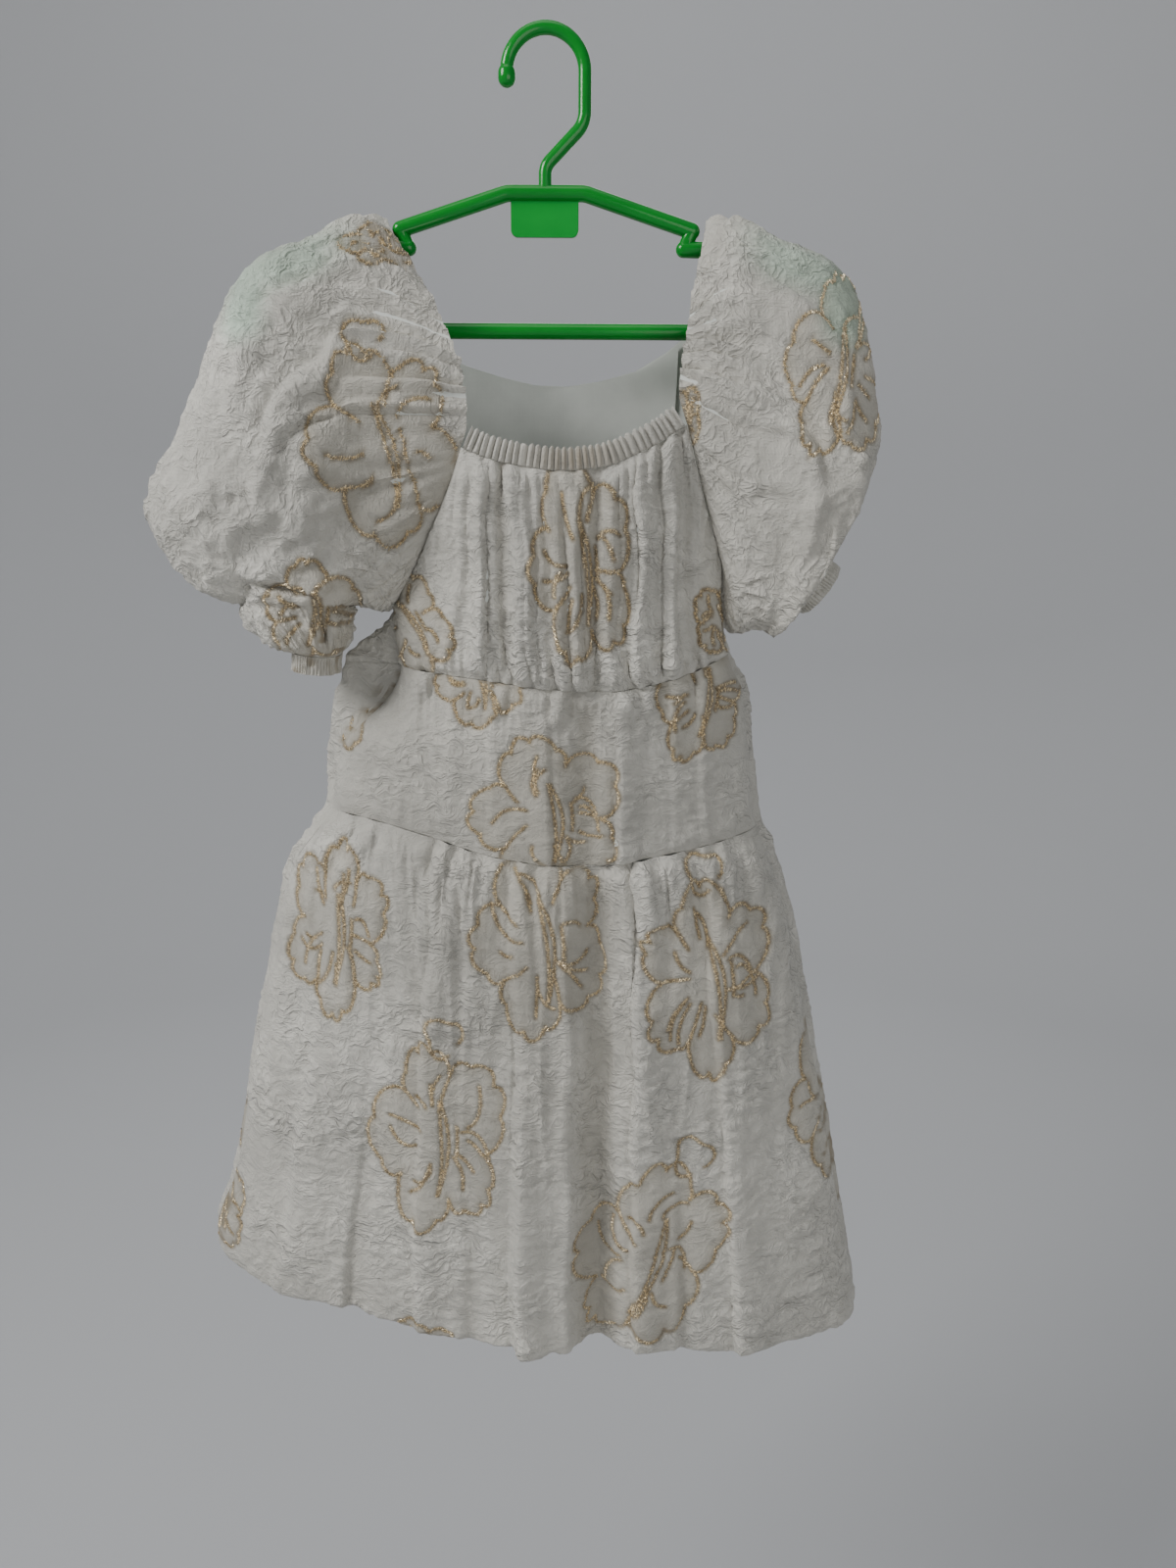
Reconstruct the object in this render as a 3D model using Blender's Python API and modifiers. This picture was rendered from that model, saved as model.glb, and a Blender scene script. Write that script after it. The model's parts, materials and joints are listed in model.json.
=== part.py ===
import math

import bmesh
import bpy
import numpy as np

# A girl's party dress with puff sleeves, hung on a child's plastic hanger.
# Lengths in the tables are millimetres. The origin is the top inside of the hook,
# Z goes up, the front of the dress faces -Y and X runs to the viewer's right.
MM = 0.001

CLOTH_WALL = 1.4
LINING_WALL = 1.0
SEAM_GAP = 0.44
SIDE_GAP = 1.1
CASING_HEIGHT = 11.5
CASING_THICKNESS = 3.0
# Columns of a sleeve around its armhole: from the underarm up the front raglan seam,
# past the neck casing, over the shoulder, then down the back raglan seam.
SLEEVE_COLUMNS = 44
RAGLAN_COLUMNS = 10
SHOULDER_START = 11
SHOULDER_END = 29
LINING_BOTTOM = -298.0
HEM_ROLL = 5.0
HEM_TURN_UP = 12.0
CUFF_HEIGHT = 11.0
# Waves gathered into each seam. Those of the sleeves are counted for a whole turn.
CASING_WAVES = 33
BODICE_WAVES = 16
MIDDLE_WAVES = 10
SKIRT_FRONT_WAVES = 14
SKIRT_BACK_WAVES = 10
SLEEVE_NECK_WAVES = 22
CUFF_WAVES = 11

BAR_RADIUS = 4.5
JOG_RADIUS = 4.0
HOOK_RADIUS = 3.7
HOOK_LOOP_RADIUS = 21.7
TAB_THICKNESS = 2.4


def table(columns, *rows):
    names = columns.split()
    values = np.array(rows, dtype=float)
    return {name: values[:, index] for index, name in enumerate(names)}


# Sides and front of the dress at each height: the side seams (below the underarm) or
# the raglan seams (above it), and how far forward the middle of the front stands.
FRONT = table(
    "z      left_x left_y right_x right_y front_y",
    (-190,   -39,   -39,    74,     -39,    -42),
    (-211,   -44,   -37,    81,     -36,    -44),
    (-240,   -54,   -32,    89,     -31,    -46),
    (-265,   -66,   -25,    97,     -25,    -47),
    (-283,   -74,   -18,   103,     -18,    -47),
    (-311,   -91,   -10,   105,     -13,    -46),
    (-313,   -92,   -10,   105.3,   -12,    -46),
    (-323,   -92,    -9,   107,      -8,    -45),
    (-348,   -89,    -8,   114,      -4,    -43),
    (-362,   -94,    -7,   121,      -2,    -43),
    (-400,  -128,    -3,   126,       0,    -46),
    (-440,  -138,     0,   131,       0,    -48),
    (-475,  -162,     0,   144,       0,    -51),
    (-503,  -172,     0,   153,       0,    -53),
    (-527,  -177,     0,   160,       0,    -54),
    (-560,  -185,     0,   167,       0,    -55),
    (-593,  -192,     0,   174,       0,    -56),
    (-627,  -200,     0,   182,       0,    -57),
    (-662,  -206,     0,   189,       0,    -57),
    (-702,  -216,     0,   197,       0,    -58),
    (-738,  -229,     0,   205,       0,    -59),
    (-767,  -229,     0,   211,       0,    -60),
    (-815,  -226,     0,   219,       0,    -61),
)

# The back: its raglan or side seams, how far back its middle stands, and how far the
# cloth swells out past each seam before it turns to the back.
BACK = table(
    "z      left_x left_y right_x right_y back_y left_swell right_swell",
    (-130,   -62,    26,    88,      26,    27,      0,         0),
    (-163,   -66,    26,    92,      25,    28,      0,         0),
    (-200,   -73,    22,    96,      21,    29,      0,         0),
    (-240,   -80,    16,   101,      15,    30,      0,         0),
    (-280,   -87,     3,   104,       9,    30,      1,         2),
    (-311,   -91,   -10,   105,      -2,    30,      6,         6),
    (-313,   -92,   -10,   105.3,    -3,    30,      7,         6),
    (-323,   -92,    -9,   107,      -8,    30,     18,         8),
    (-348,   -89,    -8,   114,      -4,    30,     50,        12),
    (-362,   -94,    -7,   121,      -2,    30,     50,        14),
    (-400,  -128,    -3,   126,       0,    30,     24,        16),
    (-440,  -138,     0,   131,       0,    30,     18,        18),
    (-475,  -162,     0,   144,       0,    31,     18,        18),
    (-527,  -177,     0,   160,       0,    31,     18,        18),
    (-593,  -192,     0,   174,       0,    32,     20,        20),
    (-662,  -206,     0,   189,       0,    32,     20,        20),
    (-702,  -216,     0,   197,       0,    32,     20,        20),
    (-738,  -229,     0,   205,       0,    32,     20,        20),
    (-815,  -226,     0,   219,       0,    32,     20,        20),
)

# Heights of the seams across the front, from the left side seam to the right one.
FRONT_SEAMS = table(
    "s     neck   empire  tier   hem",
    (0.00, -209,  -347,  -437,  -752),
    (0.10, -214,  -349,  -439,  -764),
    (0.25, -219,  -352,  -446,  -772),
    (0.45, -222,  -357,  -459,  -788),
    (0.60, -220,  -358,  -463,  -790),
    (0.80, -210,  -352,  -457,  -801),
    (1.00, -196,  -339,  -448,  -803),
)
BACK_SEAMS = table(
    "s     neck   empire  tier   hem",
    (0.00, -163,  -347,  -437,  -752),
    (0.12, -170,  -346,  -440,  -766),
    (0.45, -181,  -344,  -446,  -782),
    (0.75, -172,  -342,  -448,  -792),
    (1.00, -146,  -339,  -448,  -803),
)
UNDERARM_Z = {"left": -311.0, "right": -323.0}

# Free neck edge of each sleeve, from the front neck corner over the shoulder to the
# back neck corner. At share 0 it meets the front seam, at 0.5 it tops the shoulder.
LEFT_NECK_EDGE = table(
    "share   x     y     z",
    (0.00,  -43,  -38,  -205),
    (0.12,  -46,  -35,  -181),
    (0.23,  -54,  -30,  -160),
    (0.32,  -62,  -24,  -143),
    (0.42,  -76,  -15,  -119),
    (0.50,  -90,    0,   -97),
    (0.63,  -80,   15,  -118),
    (0.80,  -73,   23,  -140),
    (1.00,  -66,   26,  -163),
)
RIGHT_NECK_EDGE = table(
    "share   x     y     z",
    (0.00,   75,  -39,  -193),
    (0.12,   77,  -35,  -172),
    (0.23,   80,  -30,  -155),
    (0.32,   82,  -24,  -140),
    (0.42,   86,  -15,  -121),
    (0.50,   91,    0,   -97),
    (0.63,   90,   15,  -112),
    (0.80,   89,   23,  -129),
    (1.00,   90,   26,  -146),
)

# Rings of each sleeve beyond its seam: the outer and the underarm end of the ring, and
# its front and back.
LEFT_SLEEVE = table(
    "u     out_x out_z  in_x  in_z  mid_y front_y back_y",
    (0.10, -108, -100,   -98, -311,  -4,   -43,    29),
    (0.20, -132, -110,  -102, -311,  -5,   -47,    29),
    (0.29, -155, -117,  -105, -310,  -6,   -50,    29),
    (0.37, -174, -132,  -107, -310,  -6,   -52,    29),
    (0.48, -191, -167,  -110, -309,  -7,   -53,    29),
    (0.59, -211, -211,  -113, -309,  -8,   -53,    28),
    (0.69, -233, -258,  -115, -309,  -9,   -53,    26),
    (0.77, -218, -285,  -117, -309, -10,   -53,    24),
    (0.83, -199, -303,  -119, -309, -12,   -51,    21),
    (0.87, -187, -309,  -120, -310, -14,   -48,    17),
    (0.92, -176, -320,  -120, -316, -16,   -48,    16),
    (0.96, -162, -332,  -121, -328, -17,   -47,    14),
    (1.00, -151, -337,  -124, -340, -18,   -41,     6),
)
RIGHT_SLEEVE = table(
    "u     out_x out_z  in_x  in_z  mid_y front_y back_y",
    (0.10,  108, -100,   114, -323,  -4,   -43,    29),
    (0.20,  132, -109,   117, -323,  -5,   -46,    29),
    (0.29,  155, -117,   120, -323,  -6,   -48,    29),
    (0.37,  174, -133,   123, -323,  -6,   -49,    29),
    (0.48,  183, -160,   126, -323,  -7,   -50,    28),
    (0.58,  189, -186,   129, -323,  -8,   -51,    28),
    (0.68,  192, -210,   132, -323,  -9,   -51,    27),
    (0.77,  187, -236,   134, -325, -10,   -51,    25),
    (0.85,  179, -253,   137, -326, -10,   -49,    22),
    (0.91,  174, -264,   140, -322, -10,   -45,    18),
    (0.96,  169, -273,   143, -315, -10,   -40,    13),
    (1.00,  166, -280,   146, -307, -10,   -34,     8),
)
# The way each cuff points, as X and Z.
CUFF_WAY = {"left": (-0.1, -0.99), "right": (0.80, -0.60)}

# Folds of the front panels: the x of the ridge at the top and bottom of the panel, how
# wide its left and right slopes are, how high it stands (a trough is below zero) at the
# top and at the bottom.
BODICE_FOLDS = table(
    "top_x bottom_x left right top_high bottom_high",
    (-42,   -60,     6,   7,    2.5,     2.0),
    (-33,   -39,     9,   4,    4.0,     6.0),
    (-24,   -25,     4,   8,   -2.5,    -3.0),
    (-18,   -14,     4,  16,    4.0,     4.5),
    (2,      12,     4,   8,    3.0,     4.5),
    (15,     22,     6,   4,    3.5,     4.5),
    (26,     30,     4,   5,   -2.0,    -3.0),
    (36,     40,     5,   8,    3.0,     3.5),
    (55,     54,     3,  10,    5.0,     5.0),
    (72,     76,     8,   4,    4.0,     5.5),
    (79,     88,     4,   7,   -2.0,    -2.0),
)
MIDDLE_FOLDS = table(
    "top_x bottom_x left right top_high bottom_high",
    (-75,   -92,     7,  12,    3.0,     0.0),
    (-52,   -60,     5,   9,    2.5,     0.0),
    (-32,   -30,     4,   9,    2.5,     0.0),
    (0,       2,    14,   4,    2.0,     2.5),
    (24,     24,    18,  18,   -3.5,    -3.0),
    (45,     46,     4,  16,    4.0,     3.5),
    (76,     80,     4,   8,    2.5,     0.0),
    (92,     98,     4,   9,    3.0,     0.5),
)
SKIRT_FOLDS = table(
    "top_x bottom_x left right top_high bottom_high",
    (-118, -176,    8,  34,    2.0,     5.0),
    (-97,  -128,    6,  22,    3.0,    -5.0),
    (-63,   -84,    5,  20,    3.5,     4.0),
    (-45,   -48,    8,  16,    2.5,    -3.0),
    (-12,   -16,    8,  30,    1.5,    13.0),
    (13,     16,   20,   5,    2.0,     5.0),
    (34,     37,   17,  18,   -4.0,   -13.0),
    (56,     60,    4,  26,    4.5,     3.0),
    (76,     92,    5,  14,    3.0,    -4.0),
    (98,    132,    5,  34,    2.0,     7.0),
)
BACK_FOLDS = table(
    "top_x bottom_x left right top_high bottom_high",
    (-92,  -140,   10,  26,    1.0,    -5.0),
    (-48,   -66,    7,  24,    1.5,     2.5),
    (-6,    -10,    9,  30,   -1.5,    -7.0),
    (40,     58,    8,  24,    1.5,     2.5),
    (84,    122,    8,  26,   -1.0,    -6.0),
)

# Folds of the sleeves: the turn around the sleeve (0 underarm, 0.25 front, 0.5 outer
# side, 0.75 back) where the fold starts and ends, from which ring to which, its width
# as a share of a turn and its height.
LEFT_SLEEVE_FOLDS = table(
    "start_turn end_turn start_u end_u width high",
    (0.47,      0.40,     0.00,   0.42, 0.030,  3.0),
    (0.42,      0.34,     0.00,   0.52, 0.030,  3.5),
    (0.37,      0.29,     0.02,   0.50, 0.030, -3.0),
    (0.33,      0.25,     0.00,   0.60, 0.034,  4.0),
    (0.28,      0.19,     0.02,   0.55, 0.030,  3.0),
    (0.20,      0.13,     0.00,   0.60, 0.035, -3.5),
    (0.30,      0.44,     0.55,   0.86, 0.040,  4.0),
    (0.20,      0.30,     0.55,   0.86, 0.040, -4.0),
    (0.12,      0.16,     0.40,   0.90, 0.035,  4.0),
    (0.62,      0.68,     0.00,   0.70, 0.040,  3.0),
    (0.72,      0.76,     0.00,   0.80, 0.040, -3.0),
    (0.84,      0.86,     0.00,   0.80, 0.040,  3.0),
)
RIGHT_SLEEVE_FOLDS = table(
    "start_turn end_turn start_u end_u width high",
    (0.47,      0.41,     0.00,   0.40, 0.030,  3.0),
    (0.41,      0.33,     0.00,   0.55, 0.030,  3.5),
    (0.35,      0.26,     0.02,   0.50, 0.030, -3.0),
    (0.30,      0.22,     0.00,   0.60, 0.034,  3.5),
    (0.22,      0.15,     0.00,   0.60, 0.032, -3.0),
    (0.16,      0.10,     0.00,   0.55, 0.032,  3.0),
    (0.33,      0.38,     0.55,   0.90, 0.040,  4.0),
    (0.22,      0.26,     0.60,   0.90, 0.040, -3.0),
    (0.62,      0.68,     0.00,   0.70, 0.040,  3.0),
    (0.72,      0.76,     0.00,   0.80, 0.040, -3.0),
    (0.84,      0.86,     0.00,   0.80, 0.040,  3.0),
)

# Centre line of the hanger's right half: the top bar down to the strap notch, and the
# lower bar from the notch around the end to the middle of the bottom bar.
TOP_BAR = table(
    "x     z      radius",
    (0,     -80.0,   0),
    (22,    -80.0,  14),
    (83.2,  -99.3,   0),
)
LOWER_BAR = table(
    "x     z      radius",
    (78.6, -109.0,   0),
    (104,  -109.5,  40),
    (163.5, -130.0, 16),
    (165.5, -153.5,  8),
    (0,    -153.5,   0),
)
# Centre line of the hook below its round top.
HOOK_STEM = table(
    "x      z      radius",
    (21.7,  -18.0,    0),
    (21.7,  -44.0,   14),
    (-0.5,  -66.0,   10),
    (-0.5,  -79.0,    0),
)


def smooth_through(knots, values, at):
    knots = np.asarray(knots, dtype=float)
    values = np.asarray(values, dtype=float)
    order = np.argsort(knots)
    knots = knots[order]
    values = values[order]
    steps = np.diff(knots)
    shape = (-1,) + (1,) * (values.ndim - 1)
    slopes = np.diff(values, axis=0) / steps.reshape(shape)
    left, right = slopes[:-1], slopes[1:]
    same_way = left * right > 0
    safe_left = np.where(same_way, left, 1.0)
    safe_right = np.where(same_way, right, 1.0)
    inner = np.where(same_way, 2.0 / (1.0 / safe_left + 1.0 / safe_right), 0.0)
    tangents = np.concatenate([slopes[:1], inner, slopes[-1:]])
    at = np.clip(np.asarray(at, dtype=float), knots[0], knots[-1])
    cell = np.clip(np.searchsorted(knots, at) - 1, 0, len(knots) - 2)
    grow = at.shape + (1,) * (values.ndim - 1)
    width = steps[cell].reshape(grow)
    w = ((at - knots[cell]) / steps[cell]).reshape(grow)
    return ((1 + 2 * w) * (1 - w) ** 2 * values[cell]
            + w * (1 - w) ** 2 * width * tangents[cell]
            + w * w * (3 - 2 * w) * values[cell + 1]
            + w * w * (w - 1) * width * tangents[cell + 1])


def read(source, name, at, key="z"):
    return smooth_through(source[key], source[name], at)


def ramp(start, end, at):
    w = np.clip((at - start) / (end - start), 0.0, 1.0)
    return w * w * (3 - 2 * w)


def mix(first, second, share):
    return first + (second - first) * share


# How far a panel has swung from its side seams to its middle: fuller below the underarm.
def arch_share(s, z):
    return np.sin(np.pi * np.clip(s, 0, 1)) ** (0.5 + 0.25 * ramp(-335, -290, z))


def front_point(s, z):
    left_x, right_x = read(FRONT, "left_x", z), read(FRONT, "right_x", z)
    side_y = mix(read(FRONT, "left_y", z), read(FRONT, "right_y", z), s)
    arch = arch_share(s, z)
    y = side_y + (read(FRONT, "front_y", z) - side_y) * arch
    return np.stack([mix(left_x, right_x, s), y, z + 0 * s], axis=-1)


def back_point(s, z):
    left_x, right_x = read(BACK, "left_x", z), read(BACK, "right_x", z)
    side_y = mix(read(BACK, "left_y", z), read(BACK, "right_y", z), s)
    y = side_y + (read(BACK, "back_y", z) - side_y) * arch_share(s, z)
    swell_at = 0.07
    x = mix(left_x, right_x, s)
    x = x - read(BACK, "left_swell", z) * s / swell_at * np.exp(1 - s / swell_at)
    x = x + read(BACK, "right_swell", z) * (1 - s) / swell_at * np.exp(1 - (1 - s) / swell_at)
    return np.stack([x, y, z + 0 * s], axis=-1)


# Height of all folds at a place: a ridge falls to nothing over its left and right slope.
def fold_height(folds, x, v):
    height = np.zeros(np.broadcast(x, v).shape)
    for index in range(len(folds["top_x"])):
        middle = mix(folds["top_x"][index], folds["bottom_x"][index], v)
        high = mix(folds["top_high"][index], folds["bottom_high"][index], v)
        away = x - middle
        slope = np.where(away < 0, folds["left"][index], folds["right"][index])
        height += high * np.cos(np.pi / 2 * np.clip(away / slope, -1, 1)) ** 2
    return height


# Even columns, with one more close to each side seam, where the cloth turns sharply.
def even_columns(count):
    return np.concatenate([[0.0, 0.003], np.linspace(0.022, 0.978, count - 3), [0.997, 1.0]])


# Folds of the back run from the neck to the hem across all its panels.
def back_lift(s, points):
    down = np.clip((points[..., 2] + 165) / (165 - 790), 0, 1)
    below_neck = read(BACK_SEAMS, "neck", s, "s") - points[..., 2]
    height = fold_height(BACK_FOLDS, points[..., 0], down)
    return height * (0.35 + 0.65 * down) * ramp(0, 50, below_neck) * edge_fade(s, 0.16)


def edge_fade(s, reach):
    return ramp(0, reach, s) * ramp(0, reach, 1 - s)


def seam_dip(v, depth):
    return -depth * (np.exp(-v / 0.03) + np.exp(-(1 - v) / 0.03))


# Gathers are waves across a seam that die away from it.
def gathers(s, count, height, fade):
    wander = 0.35 * np.sin(2 * np.pi * (2.3 * s + 0.1)) + 0.22 * np.sin(2 * np.pi * (5.1 * s + 0.4))
    return height * fade * np.cos(2 * np.pi * (count * s + wander))


# Columns of a bodice panel: they start up the left raglan seam, along the neck and down
# the right raglan seam, and end along the empire seam.
def bodice_columns(seams, raglan, neck, corners, casing):
    neck_z = read(seams, "neck", np.array([0.0, 1.0]), "s") - casing
    up = np.linspace(0, 1, raglan + 1)
    across = np.linspace(0, 1, neck + 1)[1:-1]
    s_top = np.concatenate([0 * up, across, 1 + 0 * up])
    z_left = mix(UNDERARM_Z["left"], neck_z[0], up)
    z_right = mix(neck_z[1], UNDERARM_Z["right"], up)
    z_top = np.concatenate([z_left, read(seams, "neck", across, "s") - casing, z_right])
    side = np.concatenate([[0.0, 0.008], np.linspace(0.03, corners[0], raglan - 1)])
    other = np.concatenate([np.linspace(corners[1], 0.97, raglan - 1), [0.992, 1.0]])
    s_low = np.concatenate([side, mix(corners[0], corners[1], across), other])
    return s_top, z_top, s_low


def bodice_points(columns, rows, point, seams):
    s_top, z_top, s_low = columns
    v = np.linspace(0, 1, rows + 1)[:, None]
    z_low = read(seams, "empire", s_low, "s") + SEAM_GAP / 2
    s = mix(s_top, s_low, 1 - (1 - v) ** 2.2)
    return s, v, point(s, mix(z_top, z_low, v))


def front_bodice_grid(neck_columns, rows):
    casing = CASING_HEIGHT + SEAM_GAP
    columns = bodice_columns(FRONT_SEAMS, RAGLAN_COLUMNS, neck_columns, (0.24, 0.80), casing)
    s, v, points = bodice_points(columns, rows, front_point, FRONT_SEAMS)
    fade = edge_fade(s, 0.06)
    lift = fold_height(BODICE_FOLDS, points[..., 0], v) * ramp(1.06, 0.9, v) * ramp(-0.08, 0.12, v)
    lift += gathers(columns[2], BODICE_WAVES, 0.8, ramp(0.82, 1.0, v) + ramp(0.2, 0.0, v))
    points[..., 1] -= lift * fade + seam_dip(v, 0.8) * fade + SIDE_GAP / 2
    return points


def back_bodice_grid(neck_columns, rows):
    raglan = SLEEVE_COLUMNS - SHOULDER_END
    columns = bodice_columns(BACK_SEAMS, raglan, neck_columns, (0.30, 0.72), 0.0)
    s, v, points = bodice_points(columns, rows, back_point, BACK_SEAMS)
    dip = -0.8 * np.exp(-(1 - v) / 0.03) * edge_fade(s, 0.04)
    points[..., 1] += back_lift(s, points) + dip + SIDE_GAP / 2
    return points


def middle_front_grid(columns, rows):
    s, v = np.meshgrid(even_columns(columns), np.linspace(0, 1, rows + 1))
    z_top = read(FRONT_SEAMS, "empire", s, "s") - SEAM_GAP / 2
    z_low = read(FRONT_SEAMS, "tier", s, "s") + SEAM_GAP / 2
    points = front_point(s, mix(z_top, z_low, v))
    fade = edge_fade(s, 0.08)
    lift = fold_height(MIDDLE_FOLDS, points[..., 0], v) * ramp(-0.1, 0.12, v) * ramp(1.15, 0.95, v)
    lift += gathers(s, MIDDLE_WAVES, 0.9, ramp(0.35, 0.0, v))
    points[..., 1] -= lift * fade + seam_dip(v, 0.8) * fade + SIDE_GAP / 2
    return points


def middle_back_grid(columns, rows):
    s, v = np.meshgrid(even_columns(columns), np.linspace(0, 1, rows + 1))
    z_top = read(BACK_SEAMS, "empire", s, "s") - SEAM_GAP / 2
    z_low = read(BACK_SEAMS, "tier", s, "s") + SEAM_GAP / 2
    points = back_point(s, mix(z_top, z_low, v))
    dip = seam_dip(v, 0.8) * edge_fade(s, 0.04)
    points[..., 1] += back_lift(s, points) + dip + SIDE_GAP / 2
    return points


# Lower tier with its edge rolled under and turned up inside.
def skirt_grid(columns, rows, point, seams, facing, count):
    roll_rows = 4
    s, v = np.meshgrid(even_columns(columns), np.linspace(0, 1, rows + 1) ** 0.92)
    z_top = read(seams, "tier", s, "s") - SEAM_GAP / 2
    z_low = read(seams, "hem", s, "s") + HEM_ROLL
    points = point(s, mix(z_top, z_low, v))
    fade = edge_fade(s, 0.06)
    if facing < 0:
        lift = fold_height(SKIRT_FOLDS, points[..., 0], v) * ramp(-0.05, 0.06, v) * fade
    else:
        lift = back_lift(s, points)
    lift += gathers(s, count, 1.0, ramp(0.2, 0.0, v)) * fade
    points[..., 1] += facing * (lift + seam_dip(v, 0.8) * fade + SIDE_GAP / 2)
    across = np.gradient(points[-1], axis=0)
    across /= np.linalg.norm(across[:, :2], axis=1)[:, None]
    inward = np.stack([-across[:, 1], across[:, 0]], axis=1) * -facing
    to_middle = np.where(s[-1] < 0.5, 1.0, -1.0)
    seam_way = np.stack([to_middle, 0 * to_middle], axis=1)
    inward = mix(seam_way, inward, edge_fade(s[-1], 0.05)[:, None])
    inward /= np.linalg.norm(inward, axis=1)[:, None]
    inward = np.concatenate([inward, 0 * inward[:, :1]], axis=1)
    rows_below = []
    for step in range(1, roll_rows + 1):
        turn = math.pi * step / roll_rows
        drop = HEM_ROLL * 0.6 * math.sin(turn)
        into = HEM_ROLL * 0.6 * (1 - math.cos(turn))
        rows_below.append(points[rows] + inward * into + np.array([0, 0, -drop - 2.0]))
    rows_below.append(rows_below[-1] + np.array([0, 0, HEM_TURN_UP]) + inward * 0.5)
    return np.concatenate([points, np.array(rows_below)])


def ring_zero(side, turn):
    edge = LEFT_NECK_EDGE if side == "left" else RIGHT_NECK_EDGE
    out = -1 if side == "left" else 1
    front_end, back_end = SHOULDER_START / SLEEVE_COLUMNS, SHOULDER_END / SLEEVE_COLUMNS
    low = UNDERARM_Z[side]
    neck_z = read(FRONT_SEAMS, "neck", np.array(0.0 if side == "left" else 1.0), "s")
    stations = [0, RAGLAN_COLUMNS / SLEEVE_COLUMNS, front_end]
    z_up = np.interp(turn, stations, [low, neck_z - CASING_HEIGHT - SEAM_GAP, edge["z"][0]])
    front = np.stack([read(FRONT, side + "_x", z_up), read(FRONT, side + "_y", z_up), z_up], axis=-1)
    down = np.clip((turn - back_end) / (1 - back_end), 0, 1)
    z_down = mix(edge["z"][-1], low, down)
    back = np.stack([read(BACK, side + "_x", z_down), read(BACK, side + "_y", z_down), z_down], axis=-1)
    share = np.interp(turn, [front_end, 0.5, back_end], [0.0, 0.5, 1.0])
    neck = np.stack([read(edge, axis, share, "share") for axis in "xyz"], axis=-1)
    ring = np.where((turn < front_end)[..., None], front, neck)
    ring = np.where((turn > back_end)[..., None], back, ring)
    at_seam = 1 - ramp(front_end, front_end + 0.05, turn) * ramp(back_end, back_end - 0.05, turn)
    ring[..., 0] += out * SEAM_GAP * at_seam
    return ring


def ring_table(rows, turn):
    angle = 2 * np.pi * turn
    c, s = np.cos(angle), np.sin(angle)
    along = np.sign(c) * np.abs(c) ** np.where(c > 0, 0.85, 1.3)
    bulge = np.abs(s) ** 0.8
    rings = []
    for k in range(len(rows["u"])):
        x = mix(rows["out_x"][k], rows["in_x"][k], (1 + along) / 2)
        z = mix(rows["out_z"][k], rows["in_z"][k], (1 + along) / 2)
        side_y = np.where(s > 0, rows["front_y"][k], rows["back_y"][k])
        y = mix(rows["mid_y"][k], side_y, bulge)
        rings.append(np.stack([x, y, z], axis=-1))
    return rings


def sleeve_base(side, turn, u):
    rows = LEFT_SLEEVE if side == "left" else RIGHT_SLEEVE
    controls = np.array([ring_zero(side, turn)] + ring_table(rows, turn))
    knots = np.concatenate([[0.0], rows["u"]])
    return smooth_through(knots, controls, u)


# Height of the sleeve's folds, gathers at the neck edge and gathers above the cuff.
def sleeve_lift(side, turn, u):
    folds = LEFT_SLEEVE_FOLDS if side == "left" else RIGHT_SLEEVE_FOLDS
    lift = np.zeros(np.broadcast(turn, u).shape)
    for k in range(len(folds["width"])):
        start, end = folds["start_u"][k], folds["end_u"][k]
        share = np.clip((u - start) / (end - start), 0, 1)
        middle = mix(folds["start_turn"][k], folds["end_turn"][k], share)
        away = np.clip((turn - middle) / folds["width"][k], -1, 1)
        fade = ramp(start - 0.04, start + 0.10, u) * ramp(end + 0.02, end - 0.10, u)
        lift += folds["high"][k] * fade * np.cos(np.pi / 2 * away) ** 2
    neck = ramp(0.27, 0.31, turn) * ramp(0.64, 0.60, turn) * ramp(0.16, 0.0, u)
    lift += 0.9 * neck * np.cos(2 * np.pi * SLEEVE_NECK_WAVES * turn)
    cuff = ramp(0.84, 0.93, u) * ramp(1.0, 0.95, u)
    lift += 1.2 * cuff * np.cos(2 * np.pi * CUFF_WAVES * turn)
    if side == "left":
        lift -= 6.0 * np.exp(-((u - 0.87) / 0.025) ** 2) * ramp(0.13, 0.24, turn) * ramp(0.52, 0.44, turn)
    return lift * ramp(0.0, 0.05, u + 0.04 * ramp(0.25, 0.3, turn) * ramp(0.66, 0.6, turn))


def sleeve_grid(side):
    turn = np.arange(SLEEVE_COLUMNS) / SLEEVE_COLUMNS
    rows = LEFT_SLEEVE if side == "left" else RIGHT_SLEEVE
    u = np.sort(np.concatenate([[0.0, 0.045, 0.15], rows["u"]]))
    base = sleeve_base(side, turn, u)
    middle = base.mean(axis=1, keepdims=True)
    out = base - middle
    out /= np.linalg.norm(out, axis=-1, keepdims=True)
    lift = sleeve_lift(side, turn[None, :], u[:, None])
    return base + out * lift[..., None]


# Elastic cuff: two rings below the end of the sleeve, waved by its gathers.
def cuff_grid(side):
    columns = SLEEVE_COLUMNS
    turn = np.arange(columns) / columns
    top = sleeve_base(side, turn, np.array([1.0]))[0]
    middle = top.mean(axis=0)
    run = np.array([CUFF_WAY[side][0], 0.0, CUFF_WAY[side][1]])
    rings = []
    for along, size in ((SEAM_GAP * 2, 0.98), (CUFF_HEIGHT * 0.5, 0.96), (CUFF_HEIGHT, 0.99)):
        ring = middle + (top - middle) * size + run * along
        out = (top - middle) / np.linalg.norm(top - middle, axis=1, keepdims=True)
        wave = 0.7 * np.cos(2 * np.pi * CUFF_WAVES * turn)
        rings.append(ring + out * wave[:, None])
    return np.array(rings)


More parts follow.
